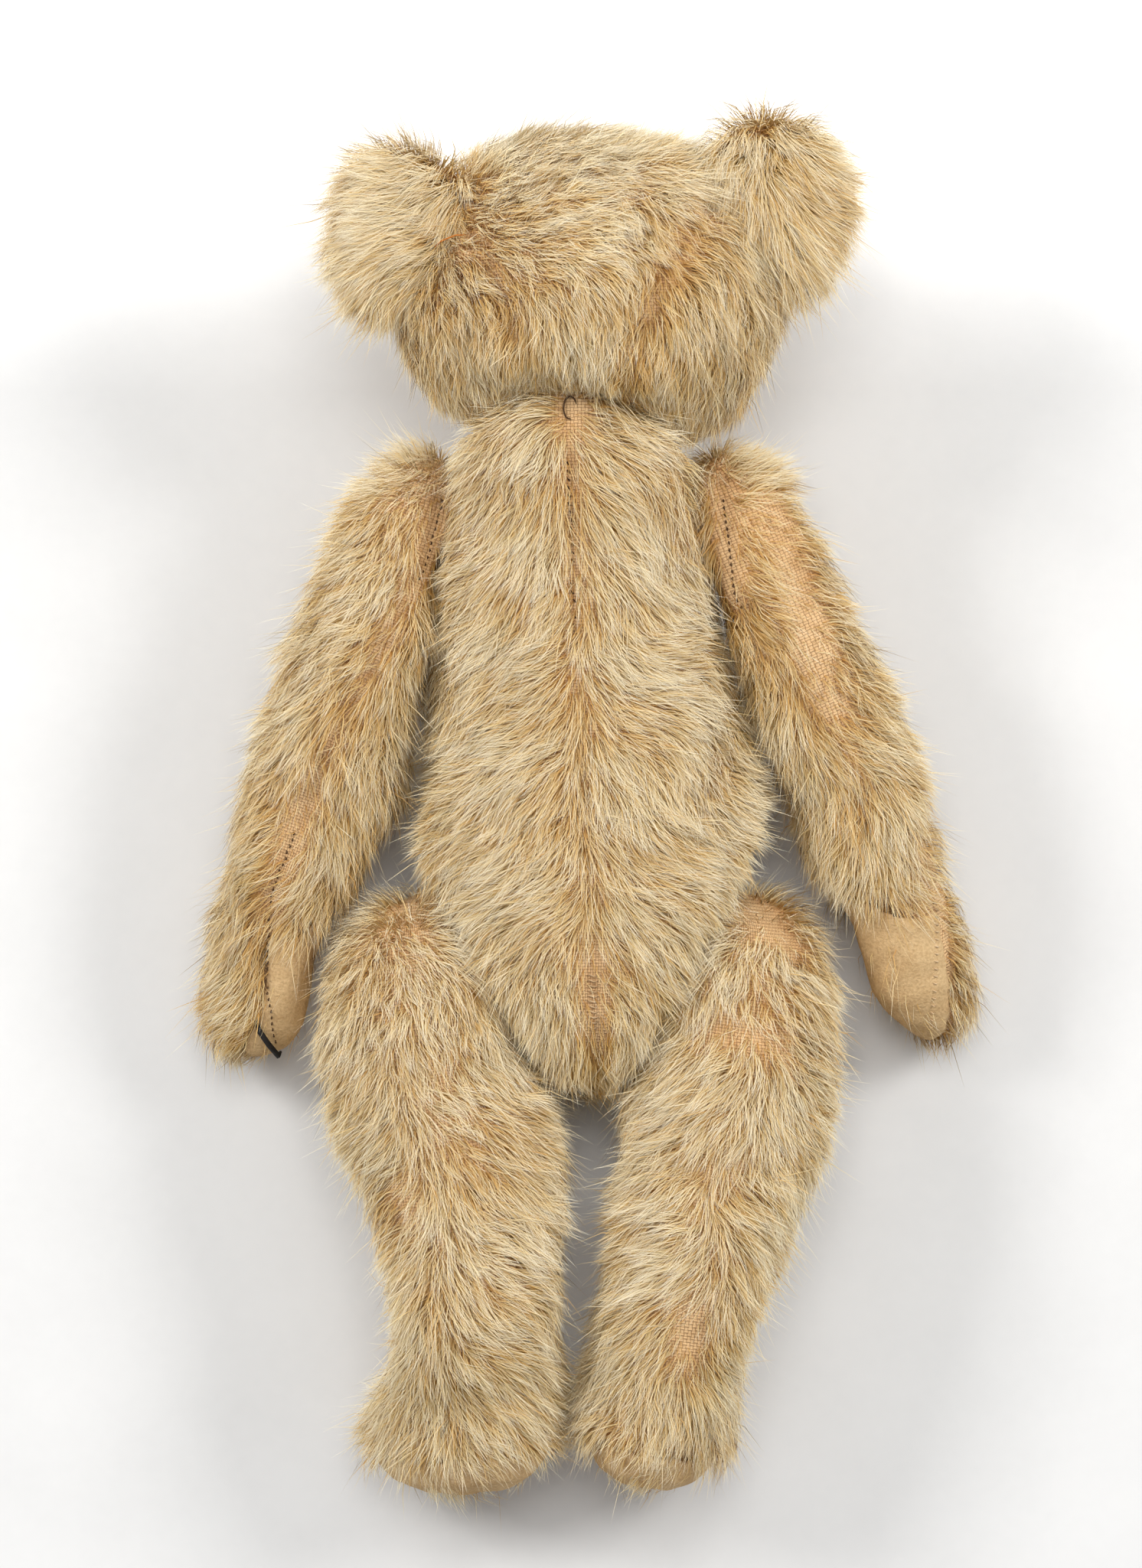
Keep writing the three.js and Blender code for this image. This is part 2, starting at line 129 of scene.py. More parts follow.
def solids_of(names):
    """The points, in millimetres, and the faces of the CAD nodes named."""
    points, faces, start = [], [], 0
    for name in names:
        own = points_of(nodes[name])
        points.append(own)
        faces += [[start + i for i in f.vertices] for f in nodes[name].data.polygons]
        start += len(own)
    return np.vstack(points), faces


def gap_to(tree, points, limit):
    """How far each point is from the surface in the tree, up to a limit."""
    found = (tree.find_nearest(Vector(p), limit)[3] for p in points)
    return np.array([limit if d is None else d for d in found])


def link(mesh, name):
    """An object in the scene that shows the mesh."""
    obj = bpy.data.objects.new(name, mesh)
    bpy.context.scene.collection.objects.link(obj)
    return obj


def smooth_shaded(mesh):
    mesh.polygons.foreach_set("use_smooth", [True] * len(mesh.polygons))
    mesh.update()


def surface(name, points, faces):
    """A smooth object from points in millimetres and lists of their numbers."""
    mesh = bpy.data.meshes.new(name)
    mesh.from_pydata((np.array(points) * MM).tolist(), [], faces)
    smooth_shaded(mesh)
    return link(mesh, name)


print("CAD parts in the frame:", len(nodes))


# %% [markdown]
# ## The woven skin of each limb
#
# A limb is cut as flat pieces, sewn, turned and stuffed hard with wood wool, so its skin is a
# taut, slightly lumpy tube with the seams pulled in.
# The CAD solids already have the right outline but are faceted.
# Subdividing them would keep the facets and the sharp cuts at the joints, so each limb is
# rebuilt with an even grid of small faces through its skin, stuffing and joint disc, only the
# outermost surface is kept, and that is relaxed until the facets are gone.
# Then low dents are added, and a shallow groove along every seam.
# The seams are given first, as broken lines on the plan, because the grooves, the nap, the wear and
# the stitches all follow them.

# %% The seams and partings of the coat
BACK_SEAM = np.array(
    [(-4.4, 97), (-5.5, 84), (-4.2, 60), (-3.8, 45), (-3, 10), (-1, -15), (0.4, -38), (0.4, -70)]
)
LEFT_ARM_SEAM = np.array(
    [(-35.3, 77.8), (-39.8, 60), (-47.4, 47), (-58.8, 21.7)]
    + [(-68.2, 4.8), (-77.5, -19), (-78.8, -40), (-77, -58)]
)
RIGHT_ARM_SEAM = np.array([(31.5, 78), (34.5, 53), (52, 24), (70, -10), (78, -60)])
LEFT_LEG_PARTING = np.array(
    [(-44.2, -8), (-45.5, -48.7), (-43.7, -75), (-38.3, -92.7), (-32, -170)]
)
RIGHT_LEG_PARTING = np.array([(37.4, -8), (40.9, -66.3), (39, -80), (29.4, -92.7), (22, -170)])
LEFT_HEAD_SEAM = np.array([(-29, 139), (-24, 125), (-13, 108), (-8, 98)])
RIGHT_HEAD_SEAM = np.array([(30, 146), (19, 132), (11, 116), (8, 98)])


def seam_gap(xy, line):
    """Distance of plan points from a broken line."""
    best = np.full(len(xy), 1e9)
    for a, b in zip(line[:-1], line[1:]):
        t = np.clip((xy - a) @ (b - a) / ((b - a) @ (b - a)), 0, 1)
        best = np.minimum(best, np.linalg.norm(xy - a - t[:, None] * (b - a), axis=1))
    return best


def across_at(line, y):
    """The x of a broken line at each y."""
    order = np.argsort(line[:, 1])
    return np.interp(y, line[order, 1], line[order, 0])


print("back seam, mm:", np.linalg.norm(np.diff(BACK_SEAM, axis=0), axis=1).sum().round(1))

# %% [markdown]
# A limb of the model stands for the CAD skin and stuffing of that limb.
# Its joint discs lie inside and are only used to close the outline, so that the skin runs over the
# hole of the joint as cloth does.

# %% The limbs and what each is made of
JOINTS = ("neck", "shoulder_left", "shoulder_right", "hip_left", "hip_right")
# For each limb: the way its nap runs, and the seams that draw its skin in.
NAP_AND_SEAMS = {
    "torso": ((0, -1, 0), [BACK_SEAM]),
    "head": ((0, -1, 0), [LEFT_HEAD_SEAM, RIGHT_HEAD_SEAM]),
    "arm_left": ((-0.33, -0.94, -0.06), [LEFT_ARM_SEAM]),
    "arm_right": ((0.38, -0.92, -0.06), [RIGHT_ARM_SEAM]),
    "leg_left": ((0.12, -0.99, 0), []),
    "leg_right": ((-0.12, -0.99, 0), []),
    "ear_left": ((-0.6, -0.8, 0), []),
    "ear_right": ((0.2, -1.0, 0), []),
}
LIMBS = {}
for name, (axis, seams) in NAP_AND_SEAMS.items():
    ear = name.startswith("ear")
    covered = [name] if ear else [f"{name}_skin", f"{name}_stuffing"]
    discs = [] if ear else [f"{name}_disc"]
    if name == "torso":
        discs = [f"{joint}_torso_disc" for joint in JOINTS]
    LIMBS[name] = {
        "body": "head" if ear else name,
        "stands_for": covered,
        "nodes": covered + discs,
        "axis": np.array(axis, float),
        "seams": seams,
    }
print("limbs:", ", ".join(LIMBS))

# %% [markdown]
# The remesh modifier in voxel mode turns the nested solids into one even grid of faces.
# It leaves a second surface wherever there is a hollow inside, so the faces are grouped by the
# points that they share, and only the largest group is kept.

# %% An even skin through the solids of a limb
def even_grid(names, size, relax):
    """Closed surfaces round the named CAD nodes, with faces of about the given size."""
    points, faces = solids_of(names)
    mesh = bpy.data.meshes.new("solids")
    mesh.from_pydata((points * MM).tolist(), [], faces)
    block = link(mesh, "block")
    grid = block.modifiers.new("grid", "REMESH")
    grid.mode = "VOXEL"
    grid.voxel_size = size * MM
    calm = block.modifiers.new("calm", "SMOOTH")
    calm.factor = 0.5
    calm.iterations = relax
    done = block.evaluated_get(bpy.context.evaluated_depsgraph_get())
    co = np.zeros(len(done.data.vertices) * 3, np.float32)
    done.data.vertices.foreach_get("co", co)
    quads = np.array([list(f.vertices) for f in done.data.polygons])
    bpy.data.objects.remove(block)
    return co.reshape(-1, 3) / MM, quads


def outermost(co, quads):
    """The surface with the most faces: the hollows inside a limb are left out."""
    group = np.arange(len(co))
    while True:
        low = group[quads].min(1)
        new = group.copy()
        for corner in range(quads.shape[1]):
            np.minimum.at(new, quads[:, corner], low)
        new = new[new]
        if (new == group).all():
            break
        group = new
    names, sizes = np.unique(group[quads[:, 0]], return_counts=True)
    kept = quads[group[quads[:, 0]] == names[sizes.argmax()]]
    used, flat = np.unique(kept, return_inverse=True)
    return co[used], flat.reshape(kept.shape)


def vertex_normals(co, quads):
    """The mean direction of the faces round each point."""
    across = np.cross(co[quads[:, 2]] - co[quads[:, 0]], co[quads[:, 3]] - co[quads[:, 1]])
    total = np.zeros_like(co)
    for corner in range(4):
        np.add.at(total, quads[:, corner], across)
    return unit(total)


# %% [markdown]
# Hand stuffing is never even, and the sewing pulls it in at the joints.
# The CAD solids are smooth there, so single places of a skin are pushed out or in, mostly by a few
# millimetres and by up to 15 at the gathered neck.
# Each push is strongest in the middle and fades away like a bell curve.

# %% Where the stuffing presses the skin out and the sewing holds it in
# Limb or pad, middle of the place, its radius, and the push, all in millimetres.
BULGES = [
    ("torso", (-5, 90, 66), 14, (0, 13.0, 8.0)),
    ("torso", (-22, 84, 62), 12, (-1.0, 7.0, 4.0)),
    ("torso", (16, 84, 62), 12, (1.0, 7.0, 4.0)),
    ("head", (-4, 97, 66), 18, (0, 12.0, -9.0)),
    ("head", (-30, 150, 68), 15, (-2.4, 3.4, 0)),
    ("head", (30, 152, 68), 15, (2.4, 3.0, 0)),
    ("head", (-38, 112, 62), 14, (-2.0, 0.5, 0)),
    ("torso", (30, 66, 50), 12, (-1.5, 0, 1.0)),
    ("arm_left", (-50, 4, 35), 15, (6.0, 0, 0)),
    ("arm_left", (-71, -56, 31), 13, (6.5, -4.5, 0)),
    ("arm_left", (-38, 84, 46), 9, (2.0, 3.0, 0)),
    ("arm_right", (34, 84, 46), 9, (-2.0, 3.0, 0)),
    ("head", (-30, 98, 56), 12, (0, -3.5, 0)),
    ("head", (24, 98, 56), 12, (0, -3.5, 0)),
    ("paw_pad_left", (-84, -45, 40), 15, (5.0, 0, -1.0)),
    ("arm_right", (70, -46, 33), 12, (-5.5, -2.0, 0)),
    ("leg_left", (-13, -62, 32), 16, (3.0, 0, 0)),
    ("leg_right", (7, -62, 32), 16, (-3.0, 0, 0)),
    ("leg_left", (-10, -138, 30), 17, (3.5, 0, 0)),
    ("leg_right", (2, -136, 30), 17, (-2.0, 0, 0)),
    ("ear_left", (-52, 126, 69), 12, (0, -4.0, 0)),
    ("ear_right", (52, 135, 67), 12, (0, -6.0, 0)),
]


def bulged(owner, co):
    """The points of a limb or pad after all its pushes."""
    for name, centre, reach, push in BULGES:
        if name == owner:
            near = np.exp(-(((co - centre) / reach) ** 2).sum(1))
            co = co + near[:, None] * np.array(push)
    return co


print("pushed places:", len(BULGES))

# %% [markdown]
# Now the skins are made, one after another, from coarse to fine: the grid, the dents and the seam
# grooves along the normal, and then the pushes.

# %% The skins
FACE_SIZE, EAR_FACE_SIZE = 1.8, 1.0
SMOOTHINGS, EAR_SMOOTHINGS = 11, 5
DENT, DENT_LENGTH = 0.55, 22
SMALL_DENT, SMALL_DENT_LENGTH = 0.25, 9
EAR_DENT_SHARE = 0.3
GROOVE_DEPTH, GROOVE_WIDTH = 1.3, 1.7
LOWEST = 0.05  # a skin stays this far above the floor
skins = {}
for number, (name, limb) in enumerate(LIMBS.items()):
    ear = name.startswith("ear")
    size = EAR_FACE_SIZE if ear else FACE_SIZE
    co, quads = even_grid(limb["nodes"], size, EAR_SMOOTHINGS if ear else SMOOTHINGS)
    co, quads = outermost(co, quads)
    normal = vertex_normals(co, quads)
    dent = DENT * drift(co, DENT_LENGTH, 10 + number)
    dent = dent + SMALL_DENT * drift(co, SMALL_DENT_LENGTH, 30 + number)
    if ear:
        dent *= EAR_DENT_SHARE
    for seam in limb["seams"]:
        seen = np.clip(normal[:, 2] * 2, 0, 1)
        groove = np.exp(-((seam_gap(co[:, :2], seam) / GROOVE_WIDTH) ** 2))
        dent -= GROOVE_DEPTH * seen * groove
    co = bulged(name, co + normal * dent[:, None])
    co[:, 2] = np.maximum(co[:, 2], LOWEST)
    skins[name] = {"co": co, "quads": quads, "normal": vertex_normals(co, quads)}
    print(f"{name}: {len(quads)} faces, {co.min(0).round(1)} to {co.max(0).round(1)} mm")

# %% [markdown]
# ## Felt pads
#
# The paw pads and soles are felt, sewn edge to edge with the plush.
# The CAD pads have the right cut, so they are only rebuilt with a finer, relaxed surface and a
# little unevenness, and follow the same bulges as the limb they close.

# %% The pads
PADS = {
    "arm_left": "paw_pad_left",
    "arm_right": "paw_pad_right",
    "leg_left": "sole_left",
    "leg_right": "sole_right",
}
FELT_FACE_SIZE, FELT_SMOOTHINGS = 1.0, 4
FELT_SWELL, FELT_DENT, FELT_DENT_LENGTH = 0.18, 0.22, 8
felt_trees, felt_pieces = {}, {}
for number, (limb_name, node) in enumerate(PADS.items()):
    co, quads = outermost(*even_grid([node], FELT_FACE_SIZE, FELT_SMOOTHINGS))
    normal = vertex_normals(co, quads)
    swell = FELT_SWELL + FELT_DENT * drift(co, FELT_DENT_LENGTH, 120 + number)
    co = bulged(node, bulged(limb_name, co + normal * swell[:, None]))
    co[:, 2] = np.maximum(co[:, 2], LOWEST)
    piece = surface(f"{node}_felt", co, quads.tolist())
    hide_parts(node)
    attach(piece, limb_name)
    felt_pieces[limb_name] = piece
    felt_trees[limb_name] = BVHTree.FromPolygons(co.tolist(), quads.tolist())
    print(f"{piece.name}: {2 * len(quads)} triangles")

# %% [markdown]
# ## How the nap lies
#
# On each cut piece the pile leans one way, down the limb.
# Where two pieces meet at a seam the nap parts, so down the middle of the back and down the back
# of each leg the locks run out to both sides like the barbs of a feather.
# The lean is worked out at every point of the skin: along the limb, turned outwards from the
# parting by an angle that changes down the limb, and then stirred a little.

# %% The lean of the nap at every point of a skin
# The line where the nap parts, and how many degrees it turns away from it at each height y.
PARTINGS = {
    "torso": (
        BACK_SEAM,
        [(100, 48), (72, 28), (50, 32), (42, 58), (20, 44), (-20, 46), (-60, 12)],
    ),
    "leg_left": (LEFT_LEG_PARTING, [(0, 55), (-30, 22), (-80, 30), (-120, 38), (-165, 22)]),
    "leg_right": (RIGHT_LEG_PARTING, [(0, 55), (-30, 22), (-80, 42), (-120, 38), (-165, 22)]),
    "arm_left": (LEFT_ARM_SEAM, [(80, 30), (40, 16), (-60, 12)]),
    "arm_right": (RIGHT_ARM_SEAM, [(80, 34), (40, 18), (-60, 14)]),
}
PARTING_WIDTH = 3.0
GATHER = np.array((-4.6, 96.0, 66.0))  # where the top of the torso is drawn together
GATHER_RADIUS = 15
CROWN_START, CROWN_LENGTH = 118, 30  # the top of the head, where the nap turns sideways
SNOUT_TOP, SNOUT_LENGTH = 38, 16  # below this height the nap runs back from the nose
FACE_LEAN = np.array((0, 0.2, 1.0))


def radiating(co, down, turn):
    """On the torso the nap leaves the gather like the spokes of a wheel."""
    spoke = co - GATHER
    far = np.linalg.norm(spoke * (1, 1, 0.4), axis=1)
    near = np.exp(-((far / GATHER_RADIUS) ** 2))[:, None]
    return down * (1 - near) + 1.4 * near * unit(spoke), turn * (1 - near[:, 0])


def combed_head(co, down):
    """On the head it runs to one side at the crown, parts at two seams and leaves the nose."""
    crown = np.clip((co[:, 1] - CROWN_START) / CROWN_LENGTH, 0, 1)
    down[:, 0] = 0.25 + 0.9 * crown - 0.012 * (co[:, 0] + 10)
    down[:, 1] = -1 + 0.35 * crown
    down[:, 2] = -0.25
    for seam in (LEFT_HEAD_SEAM, RIGHT_HEAD_SEAM):
        near = np.exp(-((seam_gap(co[:, :2], seam) / 4) ** 2))
        down[:, 0] += 0.45 * near * np.tanh((co[:, 0] - across_at(seam, co[:, 1])) / 2)
    snout = np.clip((SNOUT_TOP - co[:, 2]) / SNOUT_LENGTH, 0, 1)[:, None]
    return down * (1 - snout) + FACE_LEAN * snout


def lean_of(name, co, normal):
    """The direction of the nap, along the skin, at every point of it."""
    down = np.tile(LIMBS[name]["axis"], (len(co), 1))
    turn = np.zeros(len(co))
    if name in PARTINGS:
        line, table = PARTINGS[name]
        table = np.array(table[::-1], float)
        turn = np.radians(np.interp(co[:, 1], table[:, 0], table[:, 1]))
        turn = turn * np.tanh((co[:, 0] - across_at(line, co[:, 1])) / PARTING_WIDTH)
    if name == "torso":
        down, turn = radiating(co, down, turn)
    if name == "head":
        down = combed_head(co, down)
    if name.startswith("ear"):
        down = down + 0.035 * (co - co.mean(0)) * np.array((1, 1, 0))
        down[:, 0] += 0.25 * (-1 if name == "ear_left" else 1)
        down[:, 2] += 0.25
    turn = turn + 0.38 * drift(co, 30, 51) + 0.16 * drift(co, 11, 52)
    along = unit(down - (down * normal).sum(1, keepdims=True) * normal)
    out = np.cross(normal, along)
    return unit(along * np.cos(turn)[:, None] + out * np.sin(turn)[:, None])


print("limbs with a parting:", len(PARTINGS))

# %% [markdown]
# ## Where the pile is worn
#
# The wear is part of the bear and is kept: the gathered neck, the seam down the back, the outer
# side of the right arm, the right hip and thigh and the lines beside the paw pads are rubbed
# nearly bare.
# Painting such places by hand would not survive a change of the skin, so each is a short thick
# line on the plan, and a ragged distance to it says how bare the weave is there.

# %% The worn places
# x and y of the first end and of the second, the reach, all in millimetres, and how bare it is.
WORN = {
    "torso": [
        (-4.5, 101, -5, 96, 3.2, 0.97),
        (-5, 97, -4, 45, 1.3, 0.86),
        (-4, 45, 0, -20, 1.2, 0.35),
        (0.4, -32, 0.6, -52, 3.0, 0.88),
        (28, 74, 30, 48, 7.0, 0.42),
        (-30, 74, -26, 52, 5.0, 0.25),
    ],
    "head": [
        (-29, 139, -15, 112, 1.0, 0.7),
        (30, 146, 9, 112, 1.2, 0.9),
        (-31, 157, -31, 132, 1.5, 0.5),
        (33, 160, 31, 138, 1.5, 0.5),
        (9, 112, 8, 98, 2.4, 0.35),
    ],
    "arm_left": [
        (-35.3, 77.8, -39.8, 60, 3.0, 0.88),
        (-39.8, 60, -47.4, 47, 1.8, 0.75),
        (-47.4, 47, -68.2, 4.8, 1.8, 0.72),
        (-68.2, 4.8, -77.5, -19, 3.0, 0.85),
        (-77.5, -19, -78.6, -40, 1.6, 0.85),
        (-78.6, -40, -77, -56, 1.6, 0.7),
    ],
    "arm_right": [
        (44, 74, 58, 27, 5.2, 0.78),
        (57, 27, 66, 4, 3.5, 0.4),
        (31.5, 78, 34.5, 53, 2.6, 0.95),
        (84, -6, 86, -56, 2.6, 0.9),
        (50, 77, 58, 66, 4, 0.3),
    ],
    "leg_left": [
        (-44.1, -17, -44.1, -22, 3.0, 0.8),
        (-46.3, -90, -44, -95, 4.5, 0.6),
        (-36, -62, -31, -80, 5.0, 0.35),
        (-48, -45, -50, -50, 3.5, 0.35),
    ],
    "leg_right": [
        (38, -22, 47, -30, 3.6, 0.80),
        (30, -50, 47, -55, 3.8, 0.66),
        (41, -38, 43, -46, 3.0, 0.45),
        (23.8, -119, 24, -127, 3.8, 0.88),
        (26, -84, 34, -86, 4.0, 0.4),
    ],
    "ear_left": [(-59, 146, -60, 141, 2.0, 0.7)],
    "ear_right": [(40, 157, 46, 158, 2.0, 0.15)],
}


def wear_of(name, co, normal):
    """0 where the pile is whole, 1 where it is rubbed off."""
    seen = np.clip(normal[:, 2] * 3 + 0.9, 0, 1)
    wear = np.zeros(len(co))
    ragged = 1 + 0.35 * drift(co, 7, 71) + 0.3 * drift(co, 3, 73)
    for x0, y0, x1, y1, reach, bare in WORN[name]:
        gap = seam_gap(co[:, :2], np.array([(x0, y0), (x1, y1)])) * ragged
        edge = 0.18 * reach + 0.25
        wear = np.maximum(wear, bare * seen / (1 + np.exp((gap - reach) / edge)))
    return np.clip(wear + 0.10 * np.clip(drift(co, 13, 72) - 0.5, 0, 1), 0, 1)


print("worn places:", sum(len(places) for places in WORN.values()))

# %% [markdown]
# Between the body and a limb the pile is squashed flat, and where they touch there is none.
# Every point of a skin is therefore told how much room it has before it meets a limb on another
# body, and how far it is from its own felt pad.

# %% The room round each skin
FAR = 20.0  # nothing further off than this counts as a neighbour, mm
GATHER_ROOM = 12.0  # the tuft at the gather stands free over the head
GATHER_MIDDLE, GATHER_SPREAD = (-5, 96, 70), (30, 14, 16)
OPEN_ROOM = 5.5  # the least room of a face that looks up
for name, skin in skins.items():
    co, normal, body = skin["co"], skin["normal"], LIMBS[name]["body"]
    strangers = [n for n, o in nodes.items() if o["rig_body"] != body and n.endswith("_skin")]
    points, faces = solids_of(strangers)
    room = gap_to(BVHTree.FromPolygons(points.tolist(), faces), co, FAR)
    if name == "torso":
        gathered = np.linalg.norm((co - GATHER_MIDDLE) / GATHER_SPREAD, axis=1) < 1
        room = np.where(gathered, np.maximum(room, GATHER_ROOM), room)
    skin["room"] = np.maximum(room, OPEN_ROOM * np.clip(1.6 * normal[:, 2] - 0.2, 0, 1))
    skin["wear"] = wear_of(name, co, normal)
    skin["pad_gap"] = gap_to(felt_trees[name], co, FAR) if name in PADS else np.full(len(co), FAR)
    skin["lean"] = lean_of(name, co, normal)
    print(f"{name}: worn {skin['wear'].mean():.2f}, least room {skin['room'].min():.1f} mm")

# %% [markdown]
# ## The pile
#
# Old mohair hangs together in pointed locks two or three millimetres across, and several locks
# lean together as a tuft.
# A fibre is a ribbon of two lengths: it rises steeply from the weave, then lies over along the nap.
# Its tip is pulled towards the tip of the lock's own middle fibre, which is pulled towards its
# tuft, so the locks come to points and show the darker roots between them.
#
# First, places are drawn at random on the triangles of a skin, more where the pile is thick.

# %% Random places on a skin
# The number of fibres, their length in millimetres, and how golden (above 0) or silvery they are.
PILE = {
    "torso": {"fibres": 66000, "length": 11.0, "tint": -0.06},
    "head": {"fibres": 60000, "length": 10.0, "tint": 0.08},
    "arm_left": {"fibres": 30500, "length": 11.0, "tint": 0.03},
    "arm_right": {"fibres": 30000, "length": 11.0, "tint": 0.01},
    "leg_left": {"fibres": 38500, "length": 11.0, "tint": -0.10},
    "leg_right": {"fibres": 38000, "length": 11.0, "tint": -0.10},
    "ear_left": {"fibres": 12000, "length": 13.5, "tint": 0.04},
    "ear_right": {"fibres": 12000, "length": 13.5, "tint": 0.04},
}


def scatter(skin, count, share, rng):
    """Random places on a skin, as a function that reads any value of the skin at them."""
    co, quads = skin["co"], skin["quads"]
    tris = np.vstack([quads[:, [0, 1, 2]], quads[:, [0, 2, 3]]])
    a, b, c = (co[tris[:, i]] for i in range(3))
    weight = np.linalg.norm(np.cross(b - a, c - a), axis=1) * share[tris].mean(1)
    pick = rng.choice(len(tris), count, p=weight / weight.sum())
    u, v = rng.random(count), rng.random(count)
    flip = u + v > 1
    u[flip], v[flip] = 1 - u[flip], 1 - v[flip]
    bary = np.stack([1 - u - v, u, v], 1)
    corners = tris[pick]

    def mixed(values):
        if values.ndim == 1:
            return (values[corners] * bary).sum(1)
        return (values[corners] * bary[:, :, None]).sum(1)

    return mixed


print("fibres asked for:", sum(plan["fibres"] for plan in PILE.values()))

# %% [markdown]
# A fibre leaves the weave steeply and then lies over along the nap, so its path has two straight
# lengths with a bend between them.
# It is shorter where the coat is worn, at the face and next to the neck, it lies flatter where
# there is little room, and it stands up on the edges that look towards the top of the head.
# A share of short fibres fills the coat from below, and a few wild ones stand out of it.

# %% The path of a fibre
SWAY, SWAY_DRIFT = 0.20, 0.36  # how far the fibres stray sideways from the nap, in radians
FIRST_RISE, SECOND_RISE, RISE_SPREAD = 52, 13, 9  # how steep the two lengths are, in degrees
FIRST_SHARE, SECOND_SHARE = 0.42, 0.58  # of the whole fibre
WILD_RISE, WILD_LENGTH = 24, 1.3
FREE_ROOM = 9.0  # with this much room a fibre stands as it likes, mm
FACE_HEIGHT, FACE_SHARE = 34, 0.45  # below this height the face has short pile
NECK, NECK_SPREAD = (-4, 92, 62), (26, 20, 30)  # here the pile of the head is short
RUFF, RUFF_SPREAD = (-5, 98, 70), (22, 9, 20)  # and here the pile of the torso is long
CREST_RISE, CREST_REST = 10, 24  # how much more it rises on an edge, in degrees
HEAD_CREST, HEAD_CREST_START = 0.3, 140  # the head's own share of that, and where it begins


def upward(normal):
    """0 on most of a skin, and up to 1 where it looks towards the top of the head."""
    return np.clip(1.3 * normal[:, 1] - 0.2, 0, 1)


def grow(skin, mixed, length, rng, name, stray=0.0, under=0.0):
    """Root, normal, middle, tip and wear of fibres before they gather, and which are odd ones."""
    root, normal, lean = mixed(skin["co"]), unit(mixed(skin["normal"])), mixed(skin["lean"])
    room, wear = mixed(skin["room"]), mixed(skin["wear"])
    count = len(root)
    lean = unit(lean - (lean * normal).sum(1, keepdims=True) * normal)
    side = np.cross(normal, lean)
    sway = rng.normal(0, SWAY, count) + SWAY_DRIFT * drift(root, 5.0, 81)
    way = unit(lean * np.cos(sway)[:, None] + side * np.sin(sway)[:, None])
    reach = length * rng.uniform(0.78, 1.12, count) * (1 - 0.55 * wear)
    reach *= 1 + 0.14 * drift(root, 16, 82)
    if name == "head":
        reach *= np.where(root[:, 2] < FACE_HEIGHT, FACE_SHARE, 1.0)
        from_neck = np.linalg.norm((root - NECK) / NECK_SPREAD, axis=1)
        reach *= np.clip(from_neck - 0.40, 0.22, 1)
    if name == "torso":
        reach *= 1 + 0.3 * np.exp(-(((root - RUFF) / RUFF_SPREAD) ** 2).sum(1))
    short = rng.random(count) < under
    reach *= np.where(short, rng.uniform(0.45, 0.7, count), 1.0)
    wild = rng.random(count) < stray
    low = np.clip(room / FREE_ROOM, 0.12, 1)
    crest = upward(normal)
    if name == "head":
        crest = HEAD_CREST * crest * (root[:, 1] > HEAD_CREST_START)
    rise = np.radians(rng.normal(FIRST_RISE, RISE_SPREAD, count) + CREST_RISE * crest) * low
    rest = rng.normal(SECOND_RISE, RISE_SPREAD, count) + np.where(wild, WILD_RISE, 0)
    rest = np.radians(rest + CREST_REST * crest) * low
    reach = np.where(wild, reach * WILD_LENGTH, reach)
    middle = root + FIRST_SHARE * reach[:, None] * (
        way * np.cos(rise)[:, None] + normal * np.sin(rise)[:, None]
    )
    tip = middle + SECOND_SHARE * reach[:, None] * (
        way * np.cos(rest)[:, None] + normal * np.sin(rest)[:, None]
    )
    return root, normal, middle, tip, wear, wild, short


print("a fibre rises", FIRST_RISE, "degrees, then", SECOND_RISE)

# %% [markdown]
# The locks are found by growing a few middle fibres first, one to each lock, and then drawing the
# tips of all the fibres nearby towards theirs.
# Fibres that would lie over a bald place or over a felt pad are left out.

# %% Gathering the fibres into locks
LOCK_SPACING, TUFT_SPACING = 1.6, 6.0
STRAY_SHARE, SHORT_SHARE = 0.07, 0.42
UNDER_PILE, UPPER_PILE = 0.42, 0.58  # the pile underneath is thinner, above it is their sum
WORN_LOSS = 0.93  # the share of the pile that a bare place has lost
SQUASHED, AT_PAD = 1.7, 0.9  # with less room than this, or so near a pad, nothing grows, mm
PAD_COVER = 3.2  # a fibre this close over a pad counts as lying on it, mm
MIDDLE_STIR, TIP_STIR = 0.28, 0.6  # how loosely the fibres of a lock lie, mm
LOWEST_TIP, HIGHEST_TIP, LOWEST_MIDDLE = 0.35, 106.0, 0.30
LOCK_TINT, FIBRE_TINT, BROAD_TINT = 0.20, 0.26, 0.13  # by lock, by fibre and over broad patches
SHORT_GOLD, LONG_SILVER, EDGE_SILVER, SEAM_GOLD = 0.20, -0.14, 0.2, 0.22  # changes of the tint
LEFT_PAW_EDGE, RIGHT_PAW_EDGE = -78.5, 84  # beyond these the pile may hang over the pad


def nearest(points, targets):
    """The number of the target that is nearest to each point."""
    tree = KDTree(len(targets))
    for i, p in enumerate(targets):
        tree.insert(p, i)
    tree.balance()
    return np.array([tree.find(p)[1] for p in points])


def area_of(skin):
    """The area of a skin, in square millimetres."""
    co, q = skin["co"], skin["quads"]
    across = np.cross(co[q[:, 2]] - co[q[:, 0]], co[q[:, 3]] - co[q[:, 1]])
    return 0.5 * np.linalg.norm(across, axis=1).sum()


